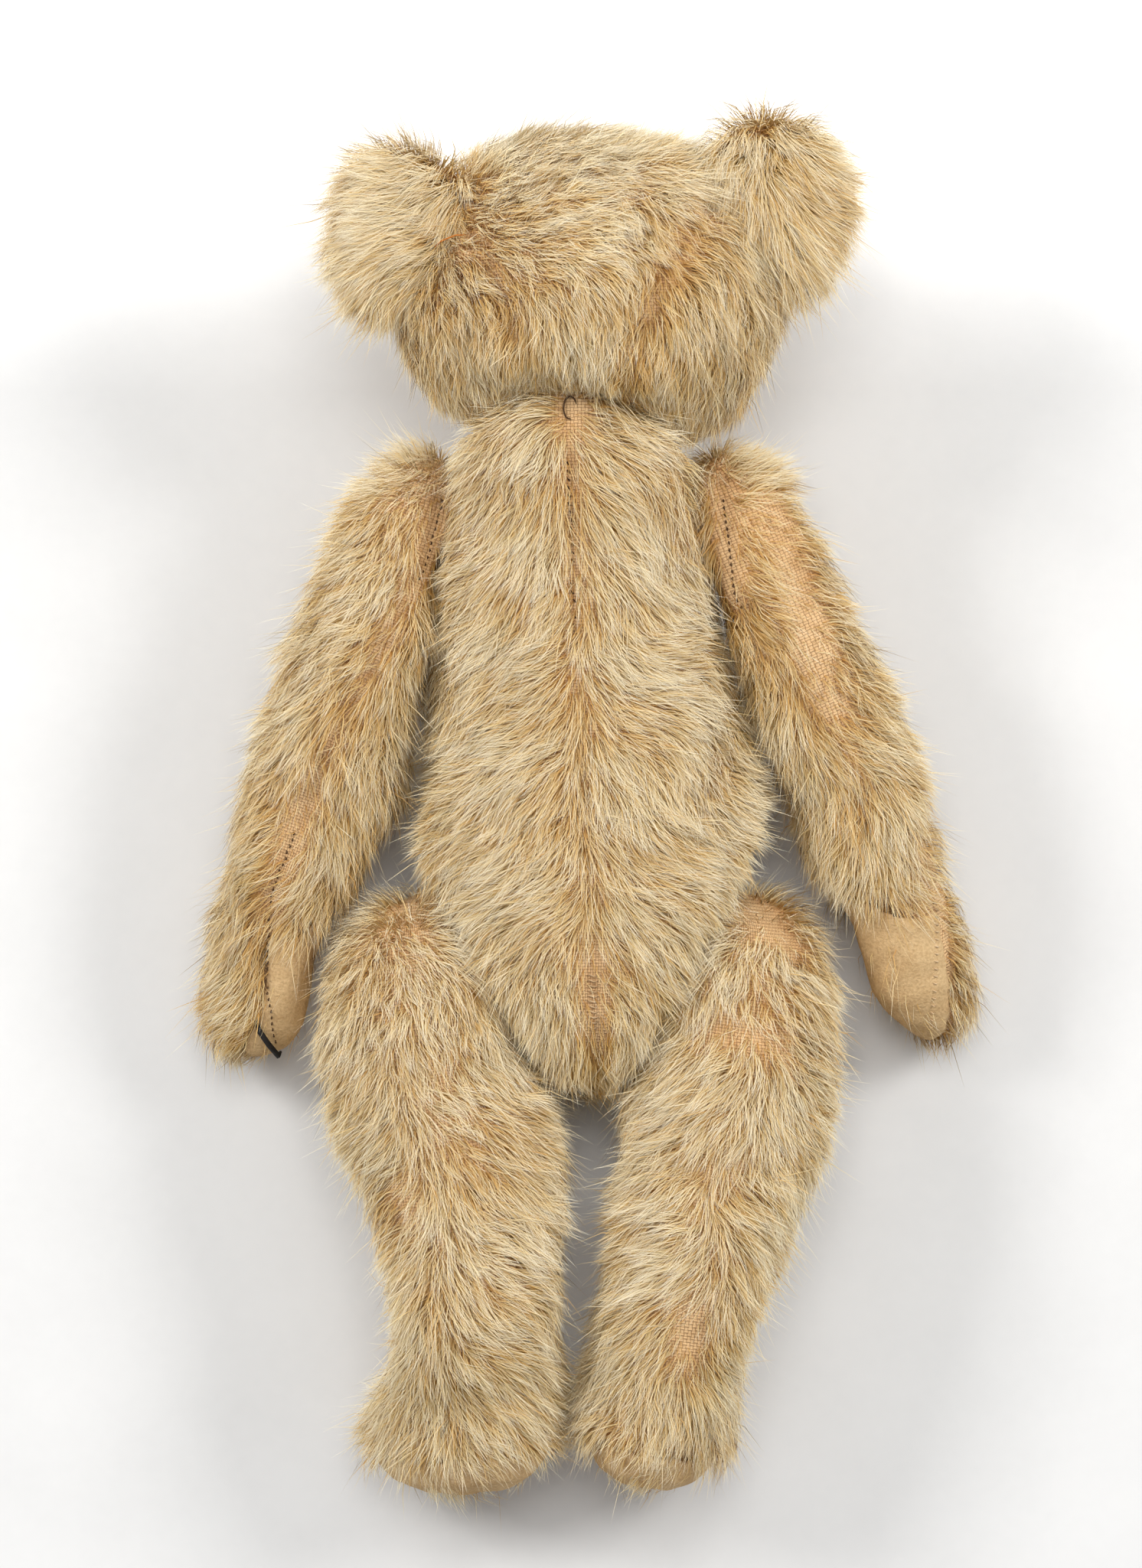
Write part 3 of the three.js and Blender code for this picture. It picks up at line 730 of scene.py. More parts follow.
def fibres_of(name, rng):
    """Every fibre of a skin: root, middle, tip, skin normal, tint."""
    skin, length = skins[name], PILE[name]["length"]
    back = UNDER_PILE + UPPER_PILE * np.clip(skin["normal"][:, 2] + 0.55, 0, 1)
    free = (skin["room"] > SQUASHED) & (skin["pad_gap"] > AT_PAD)
    share = back * (1 - WORN_LOSS * skin["wear"]) * free
    area = area_of(skin)
    mixed = scatter(skin, int(area / TUFT_SPACING**2) + 8, free * 1.0, rng)
    tufts = grow(skin, mixed, length, rng, name)
    mixed = scatter(skin, int(area / LOCK_SPACING**2) + 30, share, rng)
    locks = grow(skin, mixed, length, rng, name)
    mixed = scatter(skin, PILE[name]["fibres"], share, rng)
    fibres = grow(skin, mixed, length, rng, name, STRAY_SHARE, SHORT_SHARE)
    root, normal, middle, tip, wear, wild, short = fibres

    own_tuft = nearest(locks[0], tufts[0])
    pull = rng.uniform(0.05, 0.4, len(locks[0]))[:, None]
    lock_tip = locks[3] + pull * (tufts[3][own_tuft] - locks[3])
    far = np.linalg.norm(lock_tip - locks[0], axis=1, keepdims=True)
    lock_tip = locks[0] + (lock_tip - locks[0]) * np.minimum(1, 1.15 * length / far)

    lock = nearest(root, locks[0])
    offset = root - locks[0][lock]
    gather = rng.uniform(0.15, 0.78, len(locks[0]))[lock]
    gather = np.where(wild, 0.0, gather * (1 - 0.5 * wear))[:, None]
    tip = tip + gather * (lock_tip[lock] + 0.16 * offset - tip)
    middle = middle + 0.55 * gather * (locks[2][lock] + 0.75 * offset - middle)
    middle += rng.normal(0, MIDDLE_STIR, middle.shape)
    tip += rng.normal(0, TIP_STIR, tip.shape)
    tip[:, 2] = np.clip(tip[:, 2], LOWEST_TIP, HIGHEST_TIP)
    middle[:, 2] = np.maximum(middle[:, 2], LOWEST_MIDDLE)

    bald = wear_of(name, 0.5 * (middle + tip), normal)
    whole = (rng.random(len(root)) > 0.86 * np.clip(bald * 1.3, 0, 1) ** 1.6) | wild
    if name in PADS:
        pad = felt_trees[name]
        over = np.minimum(gap_to(pad, tip, 9.0), gap_to(pad, middle, 9.0)) < PAD_COVER
        if name == "arm_left":
            over &= tip[:, 0] > LEFT_PAW_EDGE
        if name == "arm_right":
            over &= tip[:, 0] < RIGHT_PAW_EDGE
        whole &= ~over | (rng.random(len(root)) < (0.10 if name.startswith("arm") else 0.5))

    lock_tint = rng.normal(0, LOCK_TINT, len(locks[0]))[lock]
    tint = 0.50 + 0.8 * lock_tint + BROAD_TINT * drift(root, 17, 91)
    tint = tint + rng.normal(0, FIBRE_TINT, len(root))
    tint += 0.10 * wear + PILE[name]["tint"] + np.where(short, SHORT_GOLD, LONG_SILVER)
    tint -= EDGE_SILVER * upward(normal)
    for seam in LIMBS[name]["seams"]:
        tint += SEAM_GOLD * np.exp(-((seam_gap(root[:, :2], seam) / 3.5) ** 2))
    return [v[whole] for v in (root, middle, tip, normal, np.clip(tint, 0.02, 0.98))]


print("locks on the torso:", int(area_of(skins["torso"]) / LOCK_SPACING**2))

# %% [markdown]
# Each fibre becomes a flat ribbon of three triangles: four points from the root to the bend, and
# one at the tip.
# A round tube would need several times as many faces, which this coat cannot afford.
# Ribbons are rolled at random about their length so that none of them vanishes when seen edge on,
# and each shows its front to the outside.
# The shading normal leans towards the skin's, as a round fibre's would.
# The chart of a ribbon holds its tint across and the place along the fibre upwards, so one
# material can colour every fibre differently.

# %% Ribbons along the fibres
ROOT_WIDTH, MIDDLE_WIDTH = 0.22, 0.165
WIDTH_CHANGE = 0.25  # a fibre is up to this share wider or thinner
ROLL = 0.75  # radians either way
SKY = 0.7  # how strongly the light from above draws the shading normal
HALF_TINT = 0.004  # half the width of a fibre on the chart


def ribbon_mesh(name, root, middle, tip, normal, tint, rng):
    """One mesh with a ribbon for every fibre."""
    count = len(root)
    first, second = unit(middle - root), unit(tip - middle)
    roll = rng.uniform(-ROLL, ROLL, count)[:, None]
    sides = []
    for way in (first, unit(first + second)):
        flat = unit(np.cross(way, normal))
        sides.append(flat * np.cos(roll) + np.cross(way, flat) * np.sin(roll))
    lit = normal + np.array((0, 0, SKY)) * (normal[:, 2:] > -0.6)
    facing = (np.cross(sides[1], second) * lit).sum(1, keepdims=True)
    sides = [side * np.where(facing < 0, -1, 1) for side in sides]
    lit = unit(lit)
    size = rng.uniform(1 - WIDTH_CHANGE, 1 + WIDTH_CHANGE, count)[:, None]
    low = sides[0] * (0.5 * ROOT_WIDTH * size)
    high = sides[1] * (0.5 * MIDDLE_WIDTH * size)
    ring = np.stack([root - low, root + low, middle + high, middle - high, tip], 1)
    mesh = bpy.data.meshes.new(name)
    mesh.vertices.add(count * 5)
    mesh.vertices.foreach_set("co", (ring * MM).astype(np.float32).ravel())
    corners = np.array([0, 1, 2, 3, 3, 2, 4]) + 5 * np.arange(count)[:, None]
    mesh.loops.add(count * 7)
    mesh.loops.foreach_set("vertex_index", corners.astype(np.int32).ravel())
    mesh.polygons.add(count * 2)
    starts = np.array([0, 4]) + 7 * np.arange(count)[:, None]
    mesh.polygons.foreach_set("loop_start", starts.astype(np.int32).ravel())
    mesh.update(calc_edges=True)
    chart = mesh.uv_layers.new(name="OFBake")
    u = tint[:, None] + HALF_TINT * np.array([-1, 1, 1, -1, -1, 1, 0])
    lift = 0.42 * upward(normal)[:, None]
    v = lift + (1 - lift) * np.array([0.02, 0.02, 0.42, 0.42, 0.42, 0.42, 0.98])
    chart.data.foreach_set("uv", np.stack([u, v], 2).astype(np.float32).ravel())
    soft = []
    for way in (first, first, second, second, second):
        upright = unit(lit - 0.8 * (lit * way).sum(1, keepdims=True) * way)
        face = unit(np.cross(sides[1], way))
        soft.append(unit(0.75 * upright + 0.25 * face + 0.1 * normal))
    smooth_shaded(mesh)
    mesh.normals_split_custom_set_from_vertices(np.stack(soft, 1).reshape(-1, 3).tolist())
    return mesh


# %% [markdown]
# Every skin gets a pile as a piece of its own, with its own seed, so that it turns with its limb
# and comes out the same on each run.

# %% The pile of every skin
pile_pieces = {}
for number, name in enumerate(PILE):
    rng = np.random.default_rng(400 + number)
    fibres = fibres_of(name, rng)
    piece = link(ribbon_mesh(f"{name}_pile", *fibres, rng), f"{name}_pile")
    pile_pieces[name] = piece
    tall = fibres[2][:, 2].max()
    print(f"{piece.name}: {len(fibres[0])} fibres, up to {tall:.0f} mm high")

# %% [markdown]
# ## The skins as pieces
#
# The weave of the cloth needs a chart that follows it.
# An automatic unwrap would cut the skin into islands with the threads running every way, so the
# chart is wrapped round the limb like a sleeve, in millimetres, and the threads of the weave keep
# their size of about three quarters of a millimetre everywhere.

# %% The skin pieces
def sleeve_chart(co, quads, axis):
    """For each corner of each face, the way round the limb and the way along it."""
    offset = co - co.mean(0)
    along = offset @ axis
    right = unit(np.cross(axis, (0, 0, 1.0)))
    around = np.arctan2(offset @ right, offset[:, 2])
    girth = np.median(np.linalg.norm(offset - along[:, None] * axis, axis=1))
    turn = around[quads]
    torn = (turn.max(1) - turn.min(1) > math.pi)[:, None] & (turn < 0)
    turn = np.where(torn, turn + 2 * math.pi, turn)
    return np.stack([turn * girth, along[quads]], 2)


skin_pieces = {}
for name, skin in skins.items():
    piece = surface(f"{name}_cloth", skin["co"], skin["quads"].tolist())
    chart = piece.data.uv_layers.new(name="cloth")
    pairs = sleeve_chart(skin["co"], skin["quads"], unit(LIMBS[name]["axis"]))
    chart.data.foreach_set("uv", pairs.astype(np.float32).ravel())
    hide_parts(*LIMBS[name]["stands_for"])
    skin_pieces[name] = piece
print("cloth pieces:", len(skin_pieces))

# %% [markdown]
# ## Materials
#
# All finishes are built from nodes, so they need no picture files.
# Effects that several finishes share, such as the weave and the stains, are node groups with named
# sockets, and a few short helpers make the nodes.

# %% Node helpers
def new_group(name, inputs, outputs):
    """A node group with named sockets, with its input node and its output node."""
    group = bpy.data.node_groups.new(name, "ShaderNodeTree")
    for label, kind, value in inputs:
        socket = group.interface.new_socket(label, in_out="INPUT", socket_type=kind)
        if value is not None:
            socket.default_value = value
    for label, kind in outputs:
        group.interface.new_socket(label, in_out="OUTPUT", socket_type=kind)
    return group, group.nodes.new("NodeGroupInput"), group.nodes.new("NodeGroupOutput")


def math_node(tree, operation, a, b=None):
    """One step of arithmetic on numbers or outputs."""
    node = tree.nodes.new("ShaderNodeMath")
    node.operation = operation
    for slot_number, value in enumerate((a, b)):
        if isinstance(value, (int, float)):
            node.inputs[slot_number].default_value = value
        elif value is not None:
            tree.links.new(value, node.inputs[slot_number])
    return node.outputs[0]


def ramp(tree, factor, stops):
    """Colours along a factor; each stop is a position and a linear colour."""
    node = tree.nodes.new("ShaderNodeValToRGB")
    node.color_ramp.elements[0].position = stops[0][0]
    node.color_ramp.elements[0].color = (*stops[0][1], 1)
    node.color_ramp.elements[1].position = stops[-1][0]
    node.color_ramp.elements[1].color = (*stops[-1][1], 1)
    for place, colour in stops[1:-1]:
        node.color_ramp.elements.new(place).color = (*colour, 1)
    tree.links.new(factor, node.inputs["Fac"])
    return node.outputs["Color"]


def mix_colour(tree, factor, a, b, blend="MIX"):
    """Two colours mixed by a factor."""
    node = tree.nodes.new("ShaderNodeMix")
    node.data_type = "RGBA"
    node.blend_type = blend
    for socket, value in ((node.inputs[0], factor), (node.inputs[6], a), (node.inputs[7], b)):
        if isinstance(value, (int, float)):
            socket.default_value = value
        elif isinstance(value, tuple):
            socket.default_value = (*value, 1)
        else:
            tree.links.new(value, socket)
    return node.outputs[2]


def noise(tree, vector, scale, detail=3.0):
    node = tree.nodes.new("ShaderNodeTexNoise")
    node.inputs["Scale"].default_value = scale
    node.inputs["Detail"].default_value = detail
    tree.links.new(vector, node.inputs["Vector"])
    return node.outputs["Fac"]


def srgb(*display):
    """An 8-bit display colour as a linear one."""
    shares = [value / 255 for value in display]
    return tuple(c / 12.92 if c <= 0.04045 else ((c + 0.055) / 1.055) ** 2.4 for c in shares)


def new_material(name):
    material = bpy.data.materials.new(name)
    material.use_nodes = True
    tree = material.node_tree
    return material, tree, tree.nodes["Principled BSDF"]


def chart_of(tree, name):
    """The output of a node that reads the named chart."""
    node = tree.nodes.new("ShaderNodeUVMap")
    node.uv_map = name
    return node.outputs["UV"]


def parts_of(tree, vector):
    """The X and Y outputs of a vector."""
    node = tree.nodes.new("ShaderNodeSeparateXYZ")
    tree.links.new(vector, node.inputs[0])
    return node.outputs["X"], node.outputs["Y"]


def bumped(tree, shader, height, distance, strength=1.0):
    """Roughens a shader's normal by a height; the distance is in metres."""
    node = tree.nodes.new("ShaderNodeBump")
    node.inputs["Distance"].default_value = distance
    node.inputs["Strength"].default_value = strength
    tree.links.new(height, node.inputs["Height"])
    tree.links.new(node.outputs["Normal"], shader.inputs["Normal"])


# %% [markdown]
# Old mohair is golden at the root, where it was never bleached, and pale at the tip.
# Some fibres have kept more of the gold and others have gone silvery, so three ramps along the
# fibre are mixed by its tint.

# %% The colour of a mohair fibre
group, incoming, outgoing = new_group(
    "Mohair fibre",
    [("Tint", "NodeSocketFloat", 0.5), ("Along", "NodeSocketFloat", 0.5)],
    [("Color", "NodeSocketColor"), ("Roughness", "NodeSocketFloat")],
)
# For each ramp: the place along the fibre and its display colour there.
FIBRE_RAMPS = {
    "pale": [(0.0, 190, 139, 67), (0.25, 211, 169, 96), (0.6, 235, 209, 150), (1.0, 252, 242, 214)],
    "golden": [(0.0, 172, 118, 48), (0.3, 195, 142, 64), (0.7, 214, 171, 95), (1.0, 232, 203, 142)],
    "silver": [(0.0, 190, 153, 92), (0.3, 215, 189, 132), (0.7, 247, 232, 196), (1.0, 255, 251, 233)],
}
along, tint = incoming.outputs["Along"], incoming.outputs["Tint"]
pale, golden, silver = (
    ramp(group, along, [(place, srgb(*rgb)) for place, *rgb in stops])
    for stops in FIBRE_RAMPS.values()
)
TINT_GAIN = 2.4
warm = math_node(group, "MULTIPLY", math_node(group, "SUBTRACT", tint, 0.5), TINT_GAIN)
cold = math_node(group, "MULTIPLY", math_node(group, "SUBTRACT", 0.5, tint), TINT_GAIN)
warm.node.use_clamp = True
cold.node.use_clamp = True
colour = mix_colour(group, warm, pale, golden)
colour = mix_colour(group, cold, colour, silver)
group.links.new(colour, outgoing.inputs["Color"])
rough = math_node(group, "ADD", math_node(group, "MULTIPLY", tint, 0.15), 0.4)
group.links.new(rough, outgoing.inputs["Roughness"])

mohair, tree, shader = new_material("mohair_pile")
fibre = tree.nodes.new("ShaderNodeGroup")
fibre.node_tree = group
for output, label in zip(parts_of(tree, chart_of(tree, "OFBake")), ("Tint", "Along")):
    tree.links.new(output, fibre.inputs[label])
tree.links.new(fibre.outputs["Color"], shader.inputs["Base Color"])
tree.links.new(fibre.outputs["Roughness"], shader.inputs["Roughness"])
shader.inputs["Specular IOR Level"].default_value = 0.5
print("material:", mohair.name)

# %% [markdown]
# The backing cloth is a plain weave: at each crossing either the warp or the weft is on top.
# A checker picks which, and a sine gives the round back of the thread.

# %% The weave
THREADS_PER_MM = 1.35
group, incoming, outgoing = new_group(
    "Plain weave",
    [("Chart", "NodeSocketVector", None), ("Threads", "NodeSocketFloat", THREADS_PER_MM)],
    [("Height", "NodeSocketFloat")],
)
scaled = group.nodes.new("ShaderNodeVectorMath")
scaled.operation = "SCALE"
group.links.new(incoming.outputs["Chart"], scaled.inputs[0])
group.links.new(incoming.outputs["Threads"], scaled.inputs["Scale"])
warp, weft = (
    math_node(group, "ABSOLUTE", math_node(group, "SINE", math_node(group, "MULTIPLY", c, math.pi)))
    for c in parts_of(group, scaled.outputs[0])
)
checker = group.nodes.new("ShaderNodeTexChecker")
checker.inputs["Scale"].default_value = 1.0
group.links.new(scaled.outputs[0], checker.inputs["Vector"])
over = math_node(group, "MULTIPLY", warp, checker.outputs["Fac"])
below = math_node(group, "SUBTRACT", 1.0, checker.outputs["Fac"])
under = math_node(group, "MULTIPLY", weft, below)
group.links.new(math_node(group, "ADD", over, under), outgoing.inputs["Height"])
PLAIN_WEAVE = group
print("node group:", group.name)

# %% [markdown]
# A century of handling leaves soft brownish patches in every material.
# Broad and fine noise in the object's own space are added, and only their low parts stay clean.

# %% The stains
group, incoming, outgoing = new_group(
    "Age stains",
    [
        ("Position", "NodeSocketVector", None),
        ("Clean", "NodeSocketColor", (1, 1, 1, 1)),
        ("Dirty", "NodeSocketColor", (0.4, 0.3, 0.2, 1)),
    ],
    [("Color", "NodeSocketColor"), ("Mask", "NodeSocketFloat")],
)
BROAD_SCALE, FINE_SCALE = 38.0, 260.0
STAIN_START, STAIN_GAIN = 0.38, 3.0
broad = noise(group, incoming.outputs["Position"], BROAD_SCALE, 4.0)
fine = noise(group, incoming.outputs["Position"], FINE_SCALE, 3.0)
broad = math_node(group, "MULTIPLY", broad, 0.7)
mask = math_node(group, "ADD", broad, math_node(group, "MULTIPLY", fine, 0.3))
mask = math_node(group, "SUBTRACT", mask, STAIN_START)
mask = math_node(group, "MULTIPLY", mask, STAIN_GAIN)
mask.node.use_clamp = True
colour = mix_colour(group, mask, incoming.outputs["Clean"], incoming.outputs["Dirty"])
group.links.new(colour, outgoing.inputs["Color"])
group.links.new(mask, outgoing.inputs["Mask"])
AGE_STAINS = group


def stained(tree, clean, dirty):
    """A stains group fed with the object's own coordinates, and the node that gives those."""
    place = tree.nodes.new("ShaderNodeTexCoord")
    node = tree.nodes.new("ShaderNodeGroup")
    node.node_tree = AGE_STAINS
    tree.links.new(place.outputs["Object"], node.inputs["Position"])
    node.inputs["Clean"].default_value = (*clean, 1)
    node.inputs["Dirty"].default_value = (*dirty, 1)
    return node, place


# %% [markdown]
# The backing cloth has gone the colour of a peach.
# The weave raises the threads, and it also draws the low places between them darker in the colour:
# that darkening is painted shade.

# %% The backing cloth
WEAVE_RELIEF, WEAVE_STRENGTH = 0.0002, 0.9  # in metres, and how much of it counts
cloth, tree, shader = new_material("mohair_cloth")
stains, _ = stained(tree, srgb(238, 204, 158), srgb(216, 172, 120))
weave = tree.nodes.new("ShaderNodeGroup")
weave.node_tree = PLAIN_WEAVE
weave.inputs["Threads"].default_value = THREADS_PER_MM
tree.links.new(chart_of(tree, "cloth"), weave.inputs["Chart"])
height = weave.outputs["Height"]
# Painted shade: the low places of the weave, between the threads, are drawn darker.
painted_gap_shade = ramp(tree, height, [(0.0, srgb(150, 108, 66)), (0.6, srgb(255, 252, 246))])
colour = mix_colour(tree, 0.9, stains.outputs["Color"], painted_gap_shade, "MULTIPLY")
tree.links.new(colour, shader.inputs["Base Color"])
bumped(tree, shader, height, WEAVE_RELIEF, WEAVE_STRENGTH)
shader.inputs["Roughness"].default_value = 0.9
shader.inputs["Specular IOR Level"].default_value = 0.15
print("material:", cloth.name)

# %% [markdown]
# Felt is pressed wool without a weave, so a very fine noise stands for its matted fibres.

# %% Felt
FUZZ_SCALE, FUZZ_RELIEF = 1500.0, 0.0003
felt, tree, shader = new_material("wool_felt")
stains, place = stained(tree, srgb(228, 196, 148), srgb(194, 157, 108))
fuzz = noise(tree, place.outputs["Object"], FUZZ_SCALE, 4.0)
matted = ramp(tree, fuzz, [(0.3, srgb(190, 172, 150)), (0.7, (1.0, 1.0, 1.0))])
colour = mix_colour(tree, 0.5, stains.outputs["Color"], matted, "MULTIPLY")
tree.links.new(colour, shader.inputs["Base Color"])
bumped(tree, shader, fuzz, FUZZ_RELIEF)
shader.inputs["Roughness"].default_value = 0.95
shader.inputs["Specular IOR Level"].default_value = 0.1
print("material:", felt.name)

# %% [markdown]
# The threads, the boot-button eyes and the parts of the joints are small or hidden, so a stained
# colour with the right gloss is enough for them.

# %% Thread, buttons and the hidden joint parts
def simple_material(name, clean, dirty, roughness, metallic=0.0, level=0.4):
    """A stained colour with one gloss, a little duller where it is stained."""
    material, tree, shader = new_material(name)
    stains, _ = stained(tree, clean, dirty)
    tree.links.new(stains.outputs["Color"], shader.inputs["Base Color"])
    dull = math_node(tree, "MULTIPLY", stains.outputs["Mask"], 0.15)
    rough = math_node(tree, "ADD", dull, roughness)
    tree.links.new(rough, shader.inputs["Roughness"])
    shader.inputs["Metallic"].default_value = metallic
    shader.inputs["Specular IOR Level"].default_value = level
    return material


seam_thread = simple_material("seam_thread", srgb(96, 70, 44), srgb(58, 40, 26), 0.8)
pale_thread = simple_material("pale_thread", srgb(214, 186, 146), srgb(176, 140, 96), 0.8)
orange_thread = simple_material("orange_thread", srgb(206, 128, 52), srgb(170, 98, 36), 0.8)
black_thread = simple_material("black_thread", srgb(34, 28, 25), srgb(18, 14, 12), 0.7)
# The finish of each kind of CAD part, for those that no piece stands for.
FINISHES = {
    "board": simple_material("fibre_board", srgb(150, 118, 84), srgb(104, 78, 52), 0.85),
    "steel": simple_material("pin_steel", srgb(150, 144, 136), srgb(96, 66, 44), 0.35, 1.0, 0.5),
    "wood_wool": simple_material("wood_wool", srgb(214, 182, 124), srgb(170, 132, 78), 0.85),
    "button": simple_material("boot_button", srgb(16, 12, 11), srgb(28, 22, 20), 0.12, 0.0, 0.6),
    "mohair": cloth,
    "felt": felt,
    "thread": black_thread,
}


def dress(obj, material):
    """Gives an object one material instead of all its own."""
    obj.data.materials.clear()
    obj.data.materials.append(material)


for obj in nodes.values():
    kind = obj.data.materials[0].name.split(".")[0]
    dress(obj, FINISHES[kind])
print("finishes:", sorted(FINISHES))

# %% [markdown]
# The skins and their pile ride on the body of their limb, so they turn with the joint.

# %% Dress the skins and the pile
for name, limb in LIMBS.items():
    if name in PADS:
        dress(felt_pieces[name], felt)
    dress(skin_pieces[name], cloth)
    dress(pile_pieces[name], mohair)
    for piece in (skin_pieces[name], pile_pieces[name]):
        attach(piece, limb["body"])
print("dressed:", len(skin_pieces), "skins,", len(pile_pieces), "piles,", len(felt_pieces), "pads")

# %% [markdown]
# ## Threads
#
# The back was closed by hand, and its stitches show as short dark threads in a row.
# A curve with a round bevel would do for one thread, but here are over a hundred, so each thread is
# a thin tube in one mesh per seam, and its plan points are dropped on to the cloth from above.

# %% Thread tubes
ABOVE = 200  # the points are dropped from this height, mm
PAW_HEIGHT = 26  # where a thread that misses the paw is sought, mm
THREAD_END = 0.45  # the ends are drawn in to this share of the width
skin_trees = {}
for name, skin in skins.items():
    skin_trees[name] = [BVHTree.FromPolygons(skin["co"].tolist(), skin["quads"].tolist())]
    if name in PADS:
        skin_trees[name].append(felt_trees[name])


def dropped(name, x, y, proud):
    """The point of a skin straight below (x, y), or else the one nearest to it, lifted a little."""
    trees = skin_trees[name]
    found = [tree.ray_cast(Vector((x, y, ABOVE)), Vector((0, 0, -1))) for tree in trees]
    found = [hit for hit in found if hit[0] is not None]
    if found:
        place, normal = max(found, key=lambda hit: hit[0].z)[:2]
    else:
        close = [tree.find_nearest(Vector((x, y, PAW_HEIGHT))) for tree in trees]
        place, normal = min(close, key=lambda hit: hit[3])[:2]
    return np.array(place + normal * proud)


def tubes(name, paths, radius, sides=6):
    """One mesh of round threads; each path is a list of points and the ends are drawn in."""
    points, faces = [], []
    for path in paths:
        path = np.array(path, float)
        way = unit(np.gradient(path, axis=0))
        flat = unit(np.cross(way, (0.31, 0.17, 0.94)))
        high = np.cross(way, flat)
        start = len(points)
        last = len(path) - 1
        for i, p in enumerate(path):
            size = radius * (THREAD_END if i in (0, last) else 1.0)
            for k in range(sides):
                a = 2 * math.pi * k / sides
                points.append(p + size * (math.cos(a) * flat[i] + math.sin(a) * high[i]))
        rings = [[start + i * sides + k for k in range(sides)] for i in range(last + 1)]
        for low, high_ring in zip(rings[:-1], rings[1:]):
            for k in range(sides):
                n = (k + 1) % sides
                faces.append([low[k], low[n], high_ring[n], high_ring[k]])
        faces.append(rings[0][::-1])
        faces.append(rings[-1])
    return surface(name, points, faces)


def stitched(name, limb, runs, radius, material):
    """Threads on a limb; each run is a list of plan points and their height above the cloth."""
    paths = [[dropped(limb, x, y, h) for x, y, h in run] for run in runs]
    piece = tubes(name, paths, radius)
    dress(piece, material)
    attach(piece, LIMBS[limb]["body"])
    print(f"{name}: {len(paths)} threads")


def along_line(line, start, end, pitch):
    """Plan points every pitch along a broken line, between two values of y."""
    return [(float(across_at(line, y)), float(y)) for y in np.arange(start, end, -pitch)]


print("cloths to sew on:", len(skin_trees))

# %% [markdown]
# The seam down the upper back is closed in dark thread and the lower end in a pale one, and one
# turn of thread lies round the gather at the neck.
# The stitches are not quite even, as a sewer's never are.

# %% The stitches of the back
rng = np.random.default_rng(7)
runs = []
for x, y in along_line(BACK_SEAM, 84, 44, 1.9):
    x += rng.normal(0, 0.3)
    if y > 66 or rng.random() < 0.75:
        runs.append([(x - 0.35, y, -0.2), (x, y - 0.35, 0.55), (x + 0.3, y - 0.9, -0.2)])
stitched("back_seam_stitches", "torso", runs, 0.26, seam_thread)

runs = []
for y in np.arange(-38, -51, -1.25):
    runs.append([(-1.1, y, -0.2), (-0.3, y + 0.15, 0.7), (0.9, y - 0.2, 0.7), (1.9, y - 0.1, -0.2)])
stitched("closing_stitches", "torso", runs, 0.2, pale_thread)

# The thread goes most of the way round the hole where the cloth is drawn together.
turns = np.radians(np.arange(20, 300, 20))
loop = [(-5.0 + 1.7 * math.cos(a), 96.6 + 2.6 * math.sin(a), 0.5) for a in turns]
stitched("neck_gather_thread", "torso", [loop], 0.22, seam_thread)

# %% [markdown]
# On the arms the machine seams show where the pile is rubbed off, and one row of pale stitches
# holds the felt of the right paw.

# %% The stitches of the arms
runs = []
for x, y in along_line(RIGHT_ARM_SEAM, 76, 50, 1.7):
    runs.append([(x, y, -0.1), (x + 0.1, y - 0.45, 0.5), (x + 0.15, y - 0.9, -0.1)])
stitched("arm_right_seam_stitches", "arm_right", runs, 0.28, seam_thread)

runs = []
for y in np.arange(-12, -52, -1.8):
    x = 84.2 - 0.02 * (y + 30) ** 2 / 10
    runs.append([(x - 0.6, y, -0.1), (x, y - 0.2, 0.6), (x + 0.6, y - 0.3, -0.1)])
stitched("paw_right_stitches", "arm_right", runs, 0.22, pale_thread)

runs = []
for x, y in along_line(LEFT_ARM_SEAM, 76, 56, 1.7) + along_line(LEFT_ARM_SEAM, -4, -56, 1.5):
    x += rng.normal(0, 0.12)
    runs.append([(x, y, -0.1), (x + 0.05, y - 0.4, 0.5), (x - 0.1, y - 0.8, -0.1)])
stitched("arm_left_seam_stitches", "arm_left", runs, 0.24, seam_thread)

# %% [markdown]
# A loose orange thread lies on the head by the left ear.
# The claws were long stitches of thick black thread, and only one of them is left.

# %% The loose thread and the last claw
loose = [(-33.5, 133.2, 4.6), (-31.6, 134.4, 4.8), (-29.6, 134.6, 4.4), (-28.4, 135.2, 3.0)]
stitched("head_orange_thread", "head", [loose], 0.2, orange_thread)
claw = [(-81, -50, 1.0), (-80, -52, 2.2), (-78.4, -54.6, 2.6), (-76.8, -57, 2.2), (-75.4, -59.4, 1.0)]
stitched("claw_thread", "arm_left", [claw], 0.75, black_thread)

# %% [markdown]
# ## Nose and mouth
#
# Both are embroidered: the nose is a block of satin stitches laid side by side, and the mouth a
# few long stitches.
# They face the floor, and their thread is the same black as the claw.
# Single stitches would be lost at this size, so the CAD shapes are given a finer surface, and the
# nose gets a low ridge for each stitch.

# %% The embroidered nose and mouth
SATIN_PITCH, SATIN_RIDGE = 0.8, 0.35
co, quads = outermost(*even_grid(["nose"], 0.45, 3))
ridge = np.abs(np.sin(co[:, 0] * math.pi / SATIN_PITCH))
co = co + vertex_normals(co, quads) * (SATIN_RIDGE * ridge)[:, None]
co[:, 2] = np.maximum(co[:, 2], LOWEST)
nose = surface("nose_satin_stitches", co, quads.tolist())
co, quads = even_grid(["mouth"], 0.3, 1)
mouth = surface("mouth_stitches", co, quads.tolist())
for piece, node in ((nose, "nose"), (mouth, "mouth")):
    dress(piece, black_thread)
    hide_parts(node)
    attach(piece, "head")
    print(f"{piece.name}: {len(piece.data.polygons)} faces")

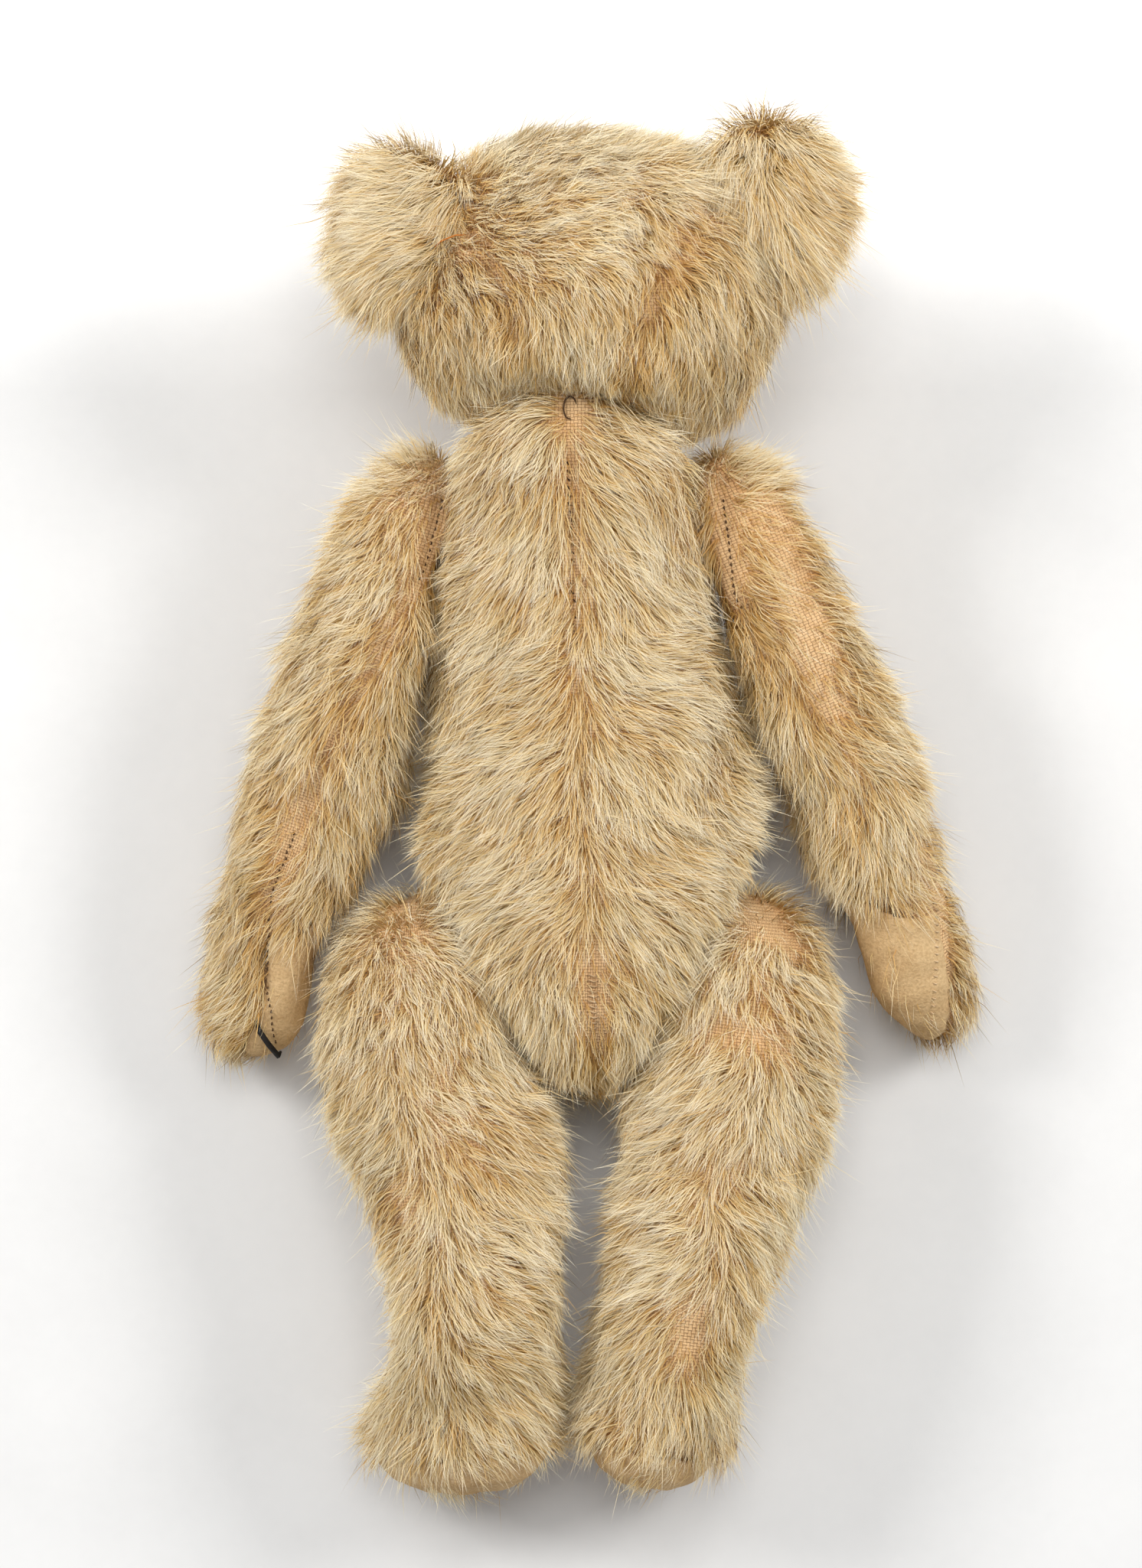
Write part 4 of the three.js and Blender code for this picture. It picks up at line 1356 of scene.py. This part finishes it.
# %% [markdown]
# ## Floor, light and camera
#
# The bear lies on a pale sheet.
# From the head upwards the sheet is lit more brightly, and a faint glow in its material does that
# without another lamp on the fur.

# %% Floor
FLOOR_HALF = 6
corners = [(-FLOOR_HALF, -FLOOR_HALF, 0), (FLOOR_HALF, -FLOOR_HALF, 0)]
corners += [(FLOOR_HALF, FLOOR_HALF, 0), (-FLOOR_HALF, FLOOR_HALF, 0)]
mesh = bpy.data.meshes.new("floor")
mesh.from_pydata(corners, [], [(0, 1, 2, 3)])
floor = link(mesh, "floor")
paper, tree, shader = new_material("pale_floor")
stains, place = stained(tree, srgb(234, 233, 231), srgb(230, 229, 227))
tree.links.new(stains.outputs["Color"], shader.inputs["Base Color"])
GLOW_START, GLOW_END = 0.105, 0.16  # metres from the middle of the floor, towards the head
_, forward = parts_of(tree, place.outputs["Object"])
glow = ramp(tree, forward, [(GLOW_START, (0.0, 0.0, 0.0)), (GLOW_END, (0.3, 0.3, 0.3))])
tree.links.new(glow, shader.inputs["Emission Color"])
shader.inputs["Emission Strength"].default_value = 1.0
shader.inputs["Roughness"].default_value = 0.9
dress(floor, paper)
floor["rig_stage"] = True
print("floor, m:", 2 * FLOOR_HALF)

# %% [markdown]
# Fur needs light from several sides, or its ribbons go flat, and hard lamps would make every fibre
# throw a sharp shadow.
# So there is one large soft lamp overhead, one at each upper side, and a pale world round them.


# %% Light
def softbox(name, place, size, power):
    """A square lamp that faces the middle of the floor."""
    data = bpy.data.lights.new(name, "AREA")
    data.shape = "SQUARE"
    data.size = size
    data.energy = power
    lamp = bpy.data.objects.new(name, data)
    bpy.context.scene.collection.objects.link(lamp)
    lamp.location = place
    lamp.rotation_euler = (Vector((0, 0, 0)) - Vector(place)).to_track_quat("-Z", "Y").to_euler()


softbox("overhead", (0.0, 0.5, 1.9), 0.8, 13)
softbox("left", (-1.25, 0.65, 1.25), 0.55, 17)
softbox("right", (1.25, 0.65, 1.25), 0.55, 17)
world = bpy.data.worlds.new("pale room")
world.use_nodes = True
world.node_tree.nodes["Background"].inputs["Color"].default_value = (0.95, 0.97, 1.0, 1)
world.node_tree.nodes["Background"].inputs["Strength"].default_value = 0.33
bpy.context.scene.world = world
bpy.context.scene.view_settings.view_transform = "Standard"

# %% [markdown]
# The camera looks straight down from a good distance, so the limbs are hardly foreshortened.
# Its lens is worked out from the height of the view at the middle of the bear.

# %% Camera
CAMERA_HEIGHT = 1.45
MIDDLE_HEIGHT = 0.045
FIELD = 0.379  # the long side of the view, in metres, at the middle height
CAMERA_X, CAMERA_Y = -0.0048, 0.0076
SENSOR = 36
camera_data = bpy.data.cameras.new("camera")
camera_data.sensor_width = SENSOR
camera_data.lens = 0.5 * SENSOR / (0.5 * FIELD / (CAMERA_HEIGHT - MIDDLE_HEIGHT))
camera_data.clip_start = 0.01
camera = bpy.data.objects.new("camera", camera_data)
bpy.context.scene.collection.objects.link(camera)
camera.location = (CAMERA_X, CAMERA_Y, CAMERA_HEIGHT)
bpy.context.scene.camera = camera
print("lens, mm:", round(camera_data.lens, 1))

# %% [markdown]
# Last, the triangles of what is shown are counted.

# %% The triangle count
total = sum(sum(len(f.vertices) - 2 for f in o.data.polygons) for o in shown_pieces())
print("triangles in all:", total)
